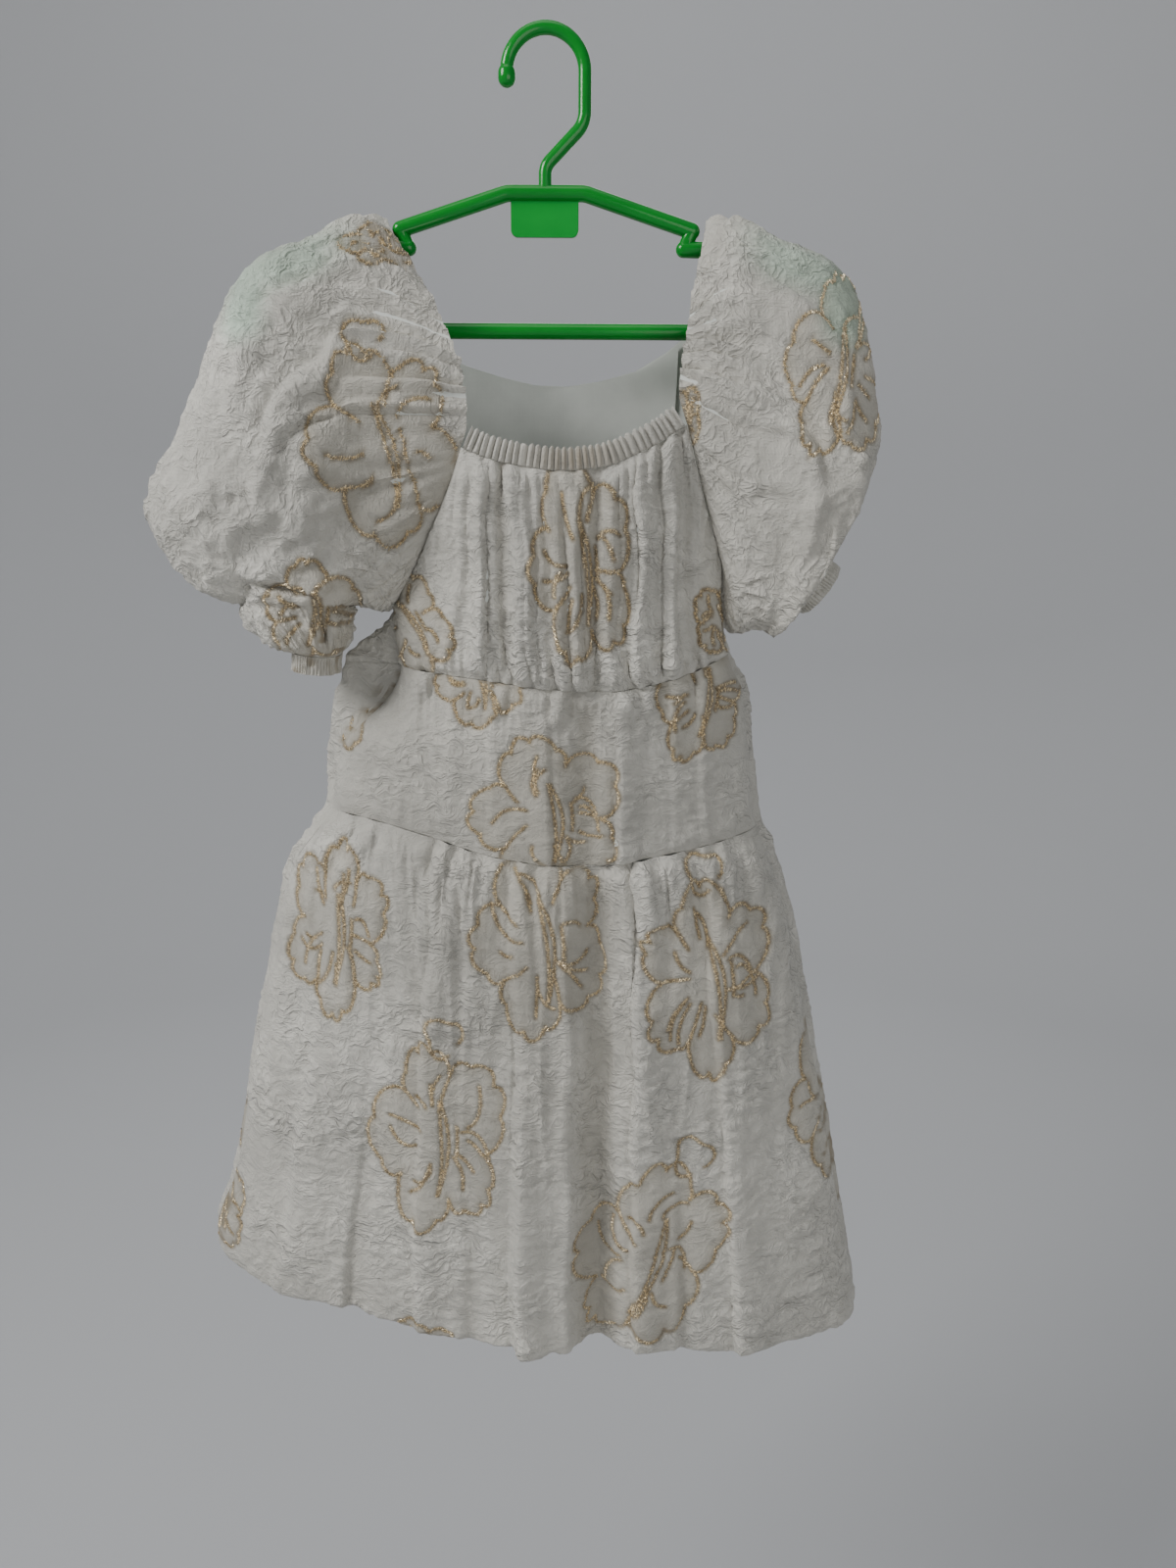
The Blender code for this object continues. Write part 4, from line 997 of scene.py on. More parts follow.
# A value drawn out from low and high to two new ends, and held there.
def rangeNode(tree, value, low, high, toLow, toHigh):
    node = tree.nodes.new("ShaderNodeMapRange")
    ends = {"From Min": low, "From Max": high, "To Min": toLow, "To Max": toHigh, "Value": value}
    for label, end in ends.items():
        feed(tree, node.inputs[label], end)
    return node.outputs["Result"]


def mixNode(tree, share, first, second, blend="MIX"):
    node = tree.nodes.new("ShaderNodeMix")
    node.data_type = "RGBA"
    node.blend_type = blend
    for label, value in (("Factor", share), ("A", first), ("B", second)):
        feed(tree, node.inputs[label], value)
    return node.outputs["Result"]


# Thin ridges where a stretched noise passes its middle value: (1 - 5.5 |noise - 0.5|) to a power.
def ridgeNode(tree, vector, scale, stretch):
    mapping = tree.nodes.new("ShaderNodeVectorMath")
    mapping.operation = "MULTIPLY"
    tree.links.new(vector, mapping.inputs[0])
    tree.links.new(stretch, mapping.inputs[1])
    noise = tree.nodes.new("ShaderNodeTexNoise")
    noise.inputs["Scale"].default_value = scale
    noise.inputs["Detail"].default_value = 1.5
    tree.links.new(mapping.outputs[0], noise.inputs["Vector"])
    away = mathNode(tree, "ABSOLUTE", mathNode(tree, "SUBTRACT", noise.outputs["Fac"], 0.5), 0.0)
    high = mathNode(tree, "SUBTRACT", 1.0, times(tree, away, 5.5))
    high = mathNode(tree, "MAXIMUM", high, 0.0)
    return mathNode(tree, "POWER", high, 1.6)


# Sizes are noise scales, larger for finer. A range is where the noise starts and ends, and
# what it becomes there.
grainLook = {
    "driftScale": 48, "drift": 0.03, "longScale": 95, "long": 0.65, "shortScale": 210, "short": 0.45,
    "patchScale": 26, "patchRange": (0.4, 0.62, 0.3, 1.0), "calm": 0.4, "wrinkleScale": 620,
    "wrinkleStretch": (1, 1, 2.0), "weaveScale": 420, "weaveBend": 1.2,
    "slowScale": 40, "slowRange": (0.3, 0.7, 0.90, 1.05), "wideScale": 9,
    # The ridge range sets the painted highlight on the crease ridges.
    "wideRange": (0.35, 0.65, 0.86, 1.05), "paintedRidgeLightRange": (0.0, 0.8, 0.92, 1.12),
}


# Crepe: drifting long and short ridges in patches, calmer where Calm is 1, over fine wrinkles
# and a plain weave of two crossed waves. Colour output: random tone times a painted highlight on ridges.
def makeCrepeGrain(look):
    group, given, out = effectGroup(
        "crepeGrain",
        [("Position", "NodeSocketVector", None), ("Stretch", "NodeSocketVector", (0.55, 0.8, 1.3)),
         ("Crease", "NodeSocketFloat", 1.0), ("Calm", "NodeSocketFloat", 0.0),
         ("Wrinkle", "NodeSocketFloat", 0.3), ("Weave", "NodeSocketFloat", 0.05)],
        [("Height", "NodeSocketFloat"), ("ToneAndPaintedRidgeLight", "NodeSocketFloat")])
    place = given.outputs["Position"]
    wander = group.nodes.new("ShaderNodeTexNoise")
    wander.inputs["Scale"].default_value = look["driftScale"]
    group.links.new(place, wander.inputs["Vector"])
    drift = group.nodes.new("ShaderNodeVectorMath")
    drift.operation = "MULTIPLY_ADD"
    drift.inputs[1].default_value = (look["drift"],) * 3
    group.links.new(wander.outputs["Color"], drift.inputs[0])
    group.links.new(place, drift.inputs[2])
    stretch = given.outputs["Stretch"]
    longRidges = ridgeNode(group, drift.outputs[0], look["longScale"], stretch)
    shortRidges = ridgeNode(group, drift.outputs[0], look["shortScale"], stretch)
    patches = rangeNode(group, noiseNode(group, place, look["patchScale"], 2), *look["patchRange"])
    ridges = plus(group, times(group, longRidges, look["long"]), times(group, shortRidges, look["short"]))
    calm = mathNode(group, "SUBTRACT", 1.0, times(group, given.outputs["Calm"], look["calm"]))
    ridges = times(group, times(group, ridges, patches), times(group, calm, given.outputs["Crease"]))
    wrinkles = noiseNode(group, drift.outputs[0], look["wrinkleScale"], 3, look["wrinkleStretch"])
    wrinkles = times(group, wrinkles, given.outputs["Wrinkle"])
    waves = []
    for way in ("X", "Z"):
        wave = group.nodes.new("ShaderNodeTexWave")
        wave.bands_direction = way
        wave.inputs["Scale"].default_value = look["weaveScale"]
        wave.inputs["Distortion"].default_value = look["weaveBend"]
        group.links.new(place, wave.inputs["Vector"])
        waves.append(wave.outputs["Fac"])
    weave = times(group, plus(group, waves[0], waves[1]), given.outputs["Weave"])
    group.links.new(plus(group, ridges, plus(group, wrinkles, weave)), out.inputs["Height"])
    slow = rangeNode(group, noiseNode(group, place, look["slowScale"], 3), *look["slowRange"])
    wide = rangeNode(group, noiseNode(group, place, look["wideScale"], 1), *look["wideRange"])
    # Painted highlight: colour lighter on the crease ridges, darker between them.
    paintedRidgeLight = rangeNode(group, ridges, *look["paintedRidgeLightRange"])
    group.links.new(times(group, times(group, slow, wide), paintedRidgeLight), out.inputs["ToneAndPaintedRidgeLight"])
    return group


# Glints: a fine noise cut into bright and dull spots.
def makeGlint():
    group, given, out = effectGroup(
        "glint", [("Position", "NodeSocketVector", None), ("Scale", "NodeSocketFloat", 900.0)],
        [("Spots", "NodeSocketFloat")])
    noise = group.nodes.new("ShaderNodeTexNoise")
    group.links.new(given.outputs["Position"], noise.inputs["Vector"])
    group.links.new(given.outputs["Scale"], noise.inputs["Scale"])
    group.links.new(rangeNode(group, noise.outputs["Fac"], 0.42, 0.6, 0.0, 1.0), out.inputs["Spots"])
    return group


# A new material with its shader and the place on the piece that its patterns read.
def startMaterial(name, roughness, sheen=0.0):
    material = bpy.data.materials.new(name)
    material.use_nodes = True
    tree = material.node_tree
    shader = tree.nodes["Principled BSDF"]
    shader.inputs["Roughness"].default_value = roughness
    shader.inputs["Sheen Weight"].default_value = sheen
    place = tree.nodes.new("ShaderNodeTexCoord").outputs["Object"]
    return material, tree, shader, place


def effect(tree, group, place, **values):
    node = tree.nodes.new("ShaderNodeGroup")
    node.node_tree = group
    tree.links.new(place, node.inputs["Position"])
    for label, value in values.items():
        node.inputs[label].default_value = value
    return node


def bumpInto(tree, shader, height, strength, distance):
    bump = tree.nodes.new("ShaderNodeBump")
    bump.inputs["Strength"].default_value = strength
    bump.inputs["Distance"].default_value = distance
    tree.links.new(height, bump.inputs["Height"])
    tree.links.new(bump.outputs["Normal"], shader.inputs["Normal"])


# Colour times the grain's random tone and painted ridge highlight, the same in all three channels.
def shadedColour(tree, shader, grain, colour):
    shade = tree.nodes.new("ShaderNodeCombineColor")
    for channel in ("Red", "Green", "Blue"):
        tree.links.new(grain.outputs["ToneAndPaintedRidgeLight"], shade.inputs[channel])
    tinted = mixNode(tree, 1.0, colour, shade.outputs["Color"], "MULTIPLY")
    tree.links.new(tinted, shader.inputs["Base Color"])


clothLook = {
    "ivory": (0.595, 0.575, 0.515), "petal": (0.49, 0.455, 0.375), "thread": (0.26, 0.205, 0.125),
    # The last colour below is painted shade for the valleys of the folds and given areas.
    "green": (0.36, 0.60, 0.44), "paintedShade": (0.37, 0.345, 0.29),
    "petalShare": 0.45, "threadShare": 0.85, "greenShare": 0.5, "paintedShadeShare": 0.6,
    "sheen": 0.12, "bump": 1.0, "bumpDepth": 0.0021, "roughRange": (0.9, 1.05, 0.92, 0.76),
}


# Colour = ivory, towards beige inside flowers, tan beside their stitches, green over the
# hanger, and towards painted shade in the valleys of the folds and over some given areas.
def makeCrepe(name, look, tone, stretch, crease):
    material, tree, shader, place = startMaterial(name, 0.85, look["sheen"])
    grain = effect(tree, crepeGrain, place, Stretch=stretch, Crease=crease)
    colour = tuple(channel * tone for channel in look["ivory"])
    for key, target, share in (("petal", "petal", "petalShare"), ("line", "thread", "threadShare"),
                               ("green", "green", "greenShare"), ("paintedShade", "paintedShade", "paintedShadeShare")):
        mask = tree.nodes.new("ShaderNodeAttribute")
        mask.attribute_name = key
        amount = times(tree, mask.outputs["Fac"], look[share])
        colour = mixNode(tree, amount, colour, look[target])
        if key == "petal":
            tree.links.new(mask.outputs["Fac"], grain.inputs["Calm"])
    shadedColour(tree, shader, grain, colour)
    rough = rangeNode(tree, grain.outputs["ToneAndPaintedRidgeLight"], *look["roughRange"])
    tree.links.new(rough, shader.inputs["Roughness"])
    bumpInto(tree, shader, grain.outputs["Height"], look["bump"], look["bumpDepth"])
    return material


liningLook = {
    "colour": (0.76, 0.78, 0.725), "sheen": 0.1, "stretch": (0.7, 0.8, 1.2), "crease": 0.12,
    "weave": 0.12, "bump": 0.35, "bumpDepth": 0.0004, "roughRange": (0.9, 1.05, 0.78, 0.66),
}


# Plain lining: the same grain, nearly smooth.
def makeLining(look):
    material, tree, shader, place = startMaterial("plainLining", 0.7, look["sheen"])
    grain = effect(tree, crepeGrain, place, Stretch=look["stretch"], Crease=look["crease"],
                   Weave=look["weave"])
    shadedColour(tree, shader, grain, look["colour"])
    rough = rangeNode(tree, grain.outputs["ToneAndPaintedRidgeLight"], *look["roughRange"])
    tree.links.new(rough, shader.inputs["Roughness"])
    bumpInto(tree, shader, grain.outputs["Height"], look["bump"], look["bumpDepth"])
    return material


threadLook = {
    "bright": (0.86, 0.72, 0.48), "dull": (0.34, 0.27, 0.175), "metal": (0.25, 0.6),
    "rough": (0.55, 0.28), "spotScale": 700.0, "twistScale": 2600, "bump": 0.5, "bumpDepth": 0.0003,
}


# Gold thread: bright, metallic and smooth where the glints are, dull between them.
def makeGoldThread(look):
    material, tree, shader, place = startMaterial("goldThread", 0.4)
    spots = effect(tree, glint, place, Scale=look["spotScale"]).outputs["Spots"]
    tree.links.new(mixNode(tree, spots, look["dull"], look["bright"]), shader.inputs["Base Color"])
    tree.links.new(rangeNode(tree, spots, 0.0, 1.0, *look["metal"]), shader.inputs["Metallic"])
    tree.links.new(rangeNode(tree, spots, 0.0, 1.0, *look["rough"]), shader.inputs["Roughness"])
    bumpInto(tree, shader, noiseNode(tree, place, look["twistScale"], 2), look["bump"], look["bumpDepth"])
    return material


plasticLook = {
    "bar": (0.0, 0.27, 0.022), "tab": (0.0, 0.37, 0.04), "shadeDown": 0.86, "clear": 0.1,
    "ior": 1.46, "gloss": 0.16, "flowScale": 60, "flowStretch": (0.5, 1, 1), "markScale": 700,
    "bump": 0.25, "bumpDepth": 0.0006,
}


# Moulded plastic: slow shade and flow marks, glossy, a little clear.
def makePlastic(name, colour, look):
    material, tree, shader, place = startMaterial(name, look["gloss"])
    shader.inputs["Transmission Weight"].default_value = look["clear"]
    shader.inputs["IOR"].default_value = look["ior"]
    flow = noiseNode(tree, place, look["flowScale"], 3, look["flowStretch"])
    darker = tuple(channel * look["shadeDown"] for channel in colour)
    shade = mixNode(tree, rangeNode(tree, flow, 0.3, 0.7, 0.0, 1.0), darker, colour)
    tree.links.new(shade, shader.inputs["Base Color"])
    marks = noiseNode(tree, place, look["markScale"], 2)
    rough = rangeNode(tree, marks, 0.3, 0.7, look["gloss"] * 0.8, look["gloss"] * 1.6)
    tree.links.new(rough, shader.inputs["Roughness"])
    bumpInto(tree, shader, flow, look["bump"], look["bumpDepth"])
    return material


crepeGrain = makeCrepeGrain(grainLook)
glint = makeGlint()
crepe = makeCrepe("crinkledCrepe", clothLook, 1.0, (0.55, 0.8, 1.3), 1.0)
sleeveCrepe = makeCrepe("sleeveCrepe", clothLook, 1.04, (0.8, 0.8, 0.95), 1.0)
tierCrepe = makeCrepe("middleTierCrepe", clothLook, 0.985, (0.5, 0.8, 1.35), 0.8)
bandCrepe = makeCrepe("gatheredBandCrepe", clothLook, 1.05, (1.3, 1.0, 0.6), 0.35)
lining = makeLining(liningLook)
goldThread = makeGoldThread(threadLook)
greenPlastic = makePlastic("greenPlastic", plasticLook["bar"], plasticLook)
tabPlastic = makePlastic("clearGreenTab", plasticLook["tab"], plasticLook)
print("finishes made")

# Front bodice
# Flowers: middle x and z, size, turn in degrees, petals, a number for its unevenness, and
# whether a bud sits on top.
frontBodiceLook = {
    "drift": 4.0, "long": 1.0, "longSize": (12, 12, 7), "short": 0.7, "shortSize": (6, 6, 4),
    "puff": 0.6, "puffSize": (9, 9, 16), "patchSize": 36, "calm": 0.5,
    "pleatHeight": 1.2, "wander": 3.2, "wanderSize": (24, 60, 34), "gathers": 1.5, "seamDip": 0.8,
    "runSize": (5, 40, 60), "runs": 2.0, "neckColumns": 19, "corners": (0.24, 0.80), "finer": 7,
    "rowsOfCloth": 99, "stitch": 0.95,
}
frontBodiceFlowers = table(
    "x     z    wide tall turn petals seed bud",
    (21.5, -284, 59, 117,   4,     5,   3,  0),
    (-80,  -322, 50,  66,  30,     5,   5,  0),
    (104,  -318, 34,  44,  10,     4,   6,  0),
)
# Small pressed pleats between the large ones.
smallPleats = table(
    "topX bottomX left right topHigh bottomHigh",
    (-29,   -33,     2,   4,    1.6,     1.2),
    (-12,    -8,     2,   5,    1.7,     1.6),
    (-6,      1,     2,   5,    1.2,     1.8),
    (7,      15,     4,   2,    1.5,     0.8),
    (21,     27,     3,   2,    1.8,     1.6),
    (31,     36,     2,   3,    1.4,     1.3),
    (43,     46,     2,   5,    1.8,     1.6),
    (50,     52,     3,   2,    1.3,     1.6),
    (61,     62,     2,   4,    1.8,     1.4),
    (67,     70,     2,   3,    1.4,     1.4),
)


# The front panel, its folds and pleats carried sideways by noise and drawn in at the seams.
def frontBodiceForm(look):
    casing = casingHeight + seamGap
    columns = bodiceColumns(frontSeams, raglanColumns, look["neckColumns"], look["corners"], casing)
    columns = tuple(drawnOut(values, look["finer"]) for values in columns)
    s, v, points = bodicePoints(columns, look["rowsOfCloth"], frontPoint, frontSeams)
    fade = edgeFade(s, 0.06)
    wavyX = points[..., 0] + look["wander"] * cloudNoise(points / np.array(look["wanderSize"]), 84)
    lift = foldHeight(bodiceFolds, wavyX, v) * ramp(1.06, 0.9, v) * ramp(-0.08, 0.12, v)
    lift *= look["pleatHeight"]
    lift += foldHeight(smallPleats, wavyX, v) * ramp(1.1, 0.85, v) * ramp(-0.05, 0.08, v)
    lift += gathers(columns[2], bodiceWaves, look["gathers"], ramp(0.75, 1.0, v) + ramp(0.35, 0.0, v))
    points[..., 1] -= lift * fade + seamDip(v, look["seamDip"]) * fade + sideGap / 2
    # The last value returned is painted shade, darker in the valleys of the pleats.
    return points, v, ramp(0.5, -6.0, lift) * fade


form, down, paintedShade = frontBodiceForm(frontBodiceLook)
runs = creases(form, frontBodiceLook["runSize"], 41) * (ramp(0.3, 0.0, down) + ramp(0.7, 1.0, down))
frontBodice, frontBodiceThread = finishPanel(
    "frontBodicePanel", form, frontBodiceLook, [crepe, lining], flowersOf(frontBodiceFlowers), 101,
    frontBodiceLook["stitch"], borderFade(form.shape[:2], True, True, True),
    extra=runs * frontBodiceLook["runs"], paintedShade=paintedShade)
print("front bodice made")

# Back bodice and the lining inside its neck
backBodiceLook = {
    "drift": 5.0, "long": 0.9, "longSize": (17, 12, 6), "short": 0.5, "shortSize": (8, 6, 4),
    "puff": 0.8, "puffSize": (14, 10, 10), "patchSize": 40, "calm": 0.5, "seamDip": 0.8,
    "runSize": (6, 40, 50), "runs": 1.4, "neckColumns": 8, "corners": (0.30, 0.72), "finer": 6,
    "rowsOfCloth": 90, "stitch": 1.25,
}
backBodiceFlowers = table(
    "x     z    wide tall turn petals seed bud",
    (28,   -240, 70, 100,  -8,     5,  11,  1),
    (-52,  -305, 62,  70,  20,     5,  12,  0),
)


def backBodiceForm(look):
    raglan = sleeveColumns - shoulderEnd
    columns = bodiceColumns(backSeams, raglan, look["neckColumns"], look["corners"], 0.0)
    columns = tuple(drawnOut(values, look["finer"]) for values in columns)
    s, v, points = bodicePoints(columns, look["rowsOfCloth"], backPoint, backSeams)
    dip = -look["seamDip"] * np.exp(-(1 - v) / 0.03) * edgeFade(s, 0.04)
    points[..., 1] += backLift(s, points) + dip + sideGap / 2
    return points, v


form, down = backBodiceForm(backBodiceLook)
runs = creases(form, backBodiceLook["runSize"], 42)
runs = runs * (0.8 * ramp(0.3, 0.0, down) + ramp(0.75, 1.0, down)) * backBodiceLook["runs"]
backBodice, backBodiceThread = finishPanel(
    "backBodicePanel", form, backBodiceLook, [crepe, lining], flowersOf(backBodiceFlowers), 111,
    backBodiceLook["stitch"], borderFade(form.shape[:2], True, True, True), turned=True, extra=runs)

backLiningLook = {"columns": 96, "rows": 48, "ends": (0.08, 0.92), "narrower": (0.12, 0.76), "apart": 1.0}


# The lining follows the back bodice inside it, a little narrower further down.
def backLiningForm(look):
    across = np.linspace(*look["ends"], look["columns"] + 1)
    s, v = np.meshgrid(across, np.linspace(0, 1, look["rows"] + 1))
    zTop = read(backSeams, "neck", s, "s") - look["apart"]
    start, width = look["narrower"]
    s = mix(s, start + width * s, v)
    points = backPoint(s, mix(zTop, liningBottom, v))
    points[..., 1] += backLift(s, points) - clothWall - look["apart"]
    return points


form = backLiningForm(backLiningLook)
normals = gridNormals(form, False, True)
slack = 0.25 * cloudNoise(form / 16, 51) + 0.15 * cloudNoise(form / 6, 52)
outer = form + normals * (slack * borderFade(form.shape[:2], True, True, True))[..., None]
backLining = clothWallPiece("backNeckLining", outer, form[::3, ::3] - normals[::3, ::3] * liningWall, 3,
                            [lining, lining], {}, turned=True)
print("back bodice and its lining made")

# Middle tier
middleLook = {
    "drift": 5.0, "long": 0.95, "longSize": (17, 12, 6), "short": 0.55, "shortSize": (8, 6, 4),
    "puff": 0.6, "puffSize": (14, 10, 10), "patchSize": 38, "calm": 0.45, "gathers": 1.2,
    # Some values below set painted shade: how deep a fold is fully shaded, and a darker area.
    "seamDip": 0.8, "paintedShadeFullAt": -5.5, "paintedShadeArea": 0.35, "paintedShadeFrom": 46, "paintedShadeTo": 40,
    "topRuns": 1.8, "lowRuns": 0.9,
    "columns": 198, "rows": 84, "backColumns": 150, "backRows": 66, "stitch": 0.95, "backStitch": 1.25,
}
middleFrontFlowers = table(
    "x     z    wide tall turn petals seed bud",
    (-39,  -352, 54,  58,  12,     5,  21,  0),
    (94,   -362, 56,  80, -10,     5,  22,  0),
    (-128, -378, 34,  46,   5,     4,  23,  0),
    (2,    -432, 92,  96,   0,     5,  24,  0),
)
middleBackFlowers = table(
    "x     z    wide tall turn petals seed bud",
    (48,   -395, 78,  88,  12,     5,  25,  0),
    (-92,  -402, 70,  84, -14,     5,  26,  1),
)


# Even columns, with closer ones at each side seam, where the cloth turns sharply.
def tierColumns(count):
    even = np.linspace(0.022, 0.978, count - 5)
    return np.concatenate([[0.0, 0.003, 0.012], even, [0.988, 0.997, 1.0]])


# A tier's panel between the empire seam and the tier seam, before its folds.
def middleForm(columns, rows, seams, point):
    s, v = np.meshgrid(tierColumns(columns), np.linspace(0, 1, rows + 1))
    zTop = read(seams, "empire", s, "s") - seamGap / 2
    zLow = read(seams, "tier", s, "s") + seamGap / 2
    return s, v, point(s, mix(zTop, zLow, v))


s, v, form = middleForm(middleLook["columns"], middleLook["rows"], frontSeams, frontPoint)
fade = edgeFade(s, 0.08)
lift = foldHeight(middleFolds, form[..., 0], v) * ramp(-0.1, 0.12, v) * ramp(1.15, 0.95, v)
lift += gathers(s, middleWaves, middleLook["gathers"], ramp(0.4, 0.0, v))
# Painted shade: the tier is darker in the valleys of its folds and over its part left of x = 40 mm.
paintedShadeArea = middleLook["paintedShadeArea"] * ramp(middleLook["paintedShadeFrom"], middleLook["paintedShadeTo"], form[..., 0])
paintedShade = np.maximum(ramp(0.0, middleLook["paintedShadeFullAt"], lift), paintedShadeArea) * fade
form[..., 1] -= lift * fade + seamDip(v, middleLook["seamDip"]) * fade + sideGap / 2
runs = creases(form, (6, 40, 40), 43) * ramp(0.5, 0.0, v) * middleLook["topRuns"]
runs += creases(form, (8, 40, 60), 44) * middleLook["lowRuns"] * ramp(0.6, 1.0, v)
middleFront, middleFrontThread = finishPanel(
    "middleTierFrontPanel", form, middleLook, [tierCrepe, lining], flowersOf(middleFrontFlowers), 121,
    middleLook["stitch"], borderFade(form.shape[:2], True, True, True), extra=runs, paintedShade=paintedShade)

s, v, form = middleForm(middleLook["backColumns"], middleLook["backRows"], backSeams, backPoint)
form[..., 1] += backLift(s, form) + seamDip(v, middleLook["seamDip"]) * edgeFade(s, 0.04) + sideGap / 2
runs = creases(form, (7, 40, 40), 45) * ramp(0.5, 0.0, v) * middleLook["topRuns"]
middleBack, middleBackThread = finishPanel(
    "middleTierBackPanel", form, middleLook, [tierCrepe, tierCrepe], flowersOf(middleBackFlowers), 131,
    middleLook["backStitch"], borderFade(form.shape[:2], True, True, True), turned=True, extra=runs)
print("middle tier made")

# Skirt
skirtLook = {
    "drift": 5.0, "long": 1.35, "longSize": (19, 12, 6.5), "short": 0.85, "shortSize": (8, 6, 4.5),
    "puff": 0.8, "puffSize": (16, 10, 11), "patchSize": 45, "calm": 0.4, "wander": 4.0,
    # Some values below set painted shade: how deep a fold is fully shaded, its share on the back, and a
    # darker area.
    "wanderSize": (60, 60, 70), "gathers": 1.4, "seamDip": 0.8, "paintedShadeFullAt": -9.0, "backPaintedShadeShare": 0.5,
    "paintedShadeArea": 0.35,
    "topRuns": 2.0, "longRuns": 2.2, "topCrinkle": 0.55, "rollRings": 9, "turnUpRings": 3,
    "columns": 300, "rows": 216, "backColumns": 240, "backRows": 156, "stitch": 0.95, "backStitch": 1.3,
}
skirtFrontFlowers = table(
    "x     z    wide tall turn petals seed bud",
    (-2,   -508, 84, 126,   2,     5,  31,  0),
    (-129, -508, 67, 113,  -6,     6,  32,  0),
    (101,  -538, 88, 130,   4,     6,  33,  1),
    (-67,  -640, 87, 132,  -4,     5,  34,  1),
    (67,   -723, 98, 138, -22,     5,  35,  1),
    (192,  -633, 66, 121,   8,     5,  36,  0),
    (-222, -718, 40,  60, -12,     4,  37,  0),
    (-83,  -792, 50,  44,   0,     5,  38,  0),
)
skirtBackFlowers = table(
    "x     z    wide tall turn petals seed bud",
    (-120, -540, 80, 120,   8,     5,  41,  1),
    (2,    -600, 88, 126,  -5,     6,  42,  0),
    (122,  -555, 84, 118,  10,     5,  43,  1),
    (-62,  -722, 86, 124,  15,     5,  44,  0),
    (92,   -735, 90, 120, -12,     6,  45,  1),
    (184,  -680, 60, 110,   5,     5,  46,  0),
    (-182, -670, 62, 108,  -6,     5,  47,  0),
)


# Values of a skirt carried on over the rows of its rolled and turned-up hem.
def downRows(values, rows):
    return np.concatenate([values, np.repeat(values[-1:], rows - len(values), axis=0)])


# A tier gathered into the one above, its hem rolled under in half a turn and turned up.
def skirtForm(columns, rows, point, seams, facing, count):
    s, v = np.meshgrid(tierColumns(columns), np.linspace(0, 1, rows + 1) ** 0.92)
    zTop = read(seams, "tier", s, "s") - seamGap / 2
    zLow = read(seams, "hem", s, "s") + hemRoll
    points = point(s, mix(zTop, zLow, v))
    fade = edgeFade(s, 0.06)
    if facing < 0:
        wavy = cloudNoise(points / np.array(skirtLook["wanderSize"]), 85)
        wavyX = points[..., 0] + skirtLook["wander"] * wavy
        lift = foldHeight(skirtFolds, wavyX, v) * ramp(-0.05, 0.06, v) * fade
    else:
        lift = backLift(s, points)
    # Painted shade: the skirt is darker in the valleys of its folds and over the middle of its upper part.
    paintedShadeArea = skirtLook["paintedShadeArea"] * ramp(60, 50, points[..., 0]) * ramp(-115, -70, points[..., 0])
    paintedShade = np.maximum(ramp(0.0, skirtLook["paintedShadeFullAt"], lift), paintedShadeArea * ramp(0.8, 0.4, v))
    lift += gathers(s, count, skirtLook["gathers"], ramp(0.3, 0.0, v)) * fade
    points[..., 1] += facing * (lift + seamDip(v, skirtLook["seamDip"]) * fade + sideGap / 2)
    across = np.gradient(points[-1], axis=0)
    across /= np.linalg.norm(across[:, :2], axis=1)[:, None]
    inward = np.stack([-across[:, 1], across[:, 0]], axis=1) * -facing
    toMiddle = np.where(s[-1] < 0.5, 1.0, -1.0)
    inward = mix(np.stack([toMiddle, 0 * toMiddle], axis=1), inward, edgeFade(s[-1], 0.05)[:, None])
    inward /= np.linalg.norm(inward, axis=1)[:, None]
    inward = np.concatenate([inward, 0 * inward[:, :1]], axis=1)
    share = np.linspace(0, 1, skirtLook["rollRings"] + 1)[1:, None, None]
    drop = hemRoll * 0.6 * np.sin(np.pi * share) + 2.0 * ramp(0.0, 0.3, share)
    into = hemRoll * 0.6 * (1 - np.cos(np.pi * share))
    roll = points[-1] + inward * into - np.array([0, 0, 1.0]) * drop
    rise = np.linspace(0, 1, skirtLook["turnUpRings"] + 1)[1:, None, None]
    turnUp = roll[-1] + np.array([0, 0, hemTurnUp]) * rise + inward * 0.5 * rise
    form = np.concatenate([points, roll, turnUp])
    return form, downRows(v, len(form)), downRows(paintedShade, len(form))


# A skirt's panel with short runs under its seam and long ones down it, and less crinkle
# near the seam.
def makeSkirt(name, made, runSizes, runSeeds, share, flowers, seed, stitch, turned):
    form, v, paintedShade = made
    runs = creases(form, runSizes[0], runSeeds[0]) * ramp(0.3, 0.0, v) * skirtLook["topRuns"]
    runs += creases(form, runSizes[1], runSeeds[1]) * skirtLook["longRuns"] * ramp(0.9, 0.2, v)
    # Share scales the painted shade in the fold valleys of this panel.
    return finishPanel(
        name, form, skirtLook, [crepe, lining], flowersOf(flowers), seed, stitch,
        borderFade(form.shape[:2], True, False, True), turned=turned, extra=runs,
        strength=mix(skirtLook["topCrinkle"], 1.0, ramp(0.05, 0.5, v)), paintedShade=share * paintedShade)


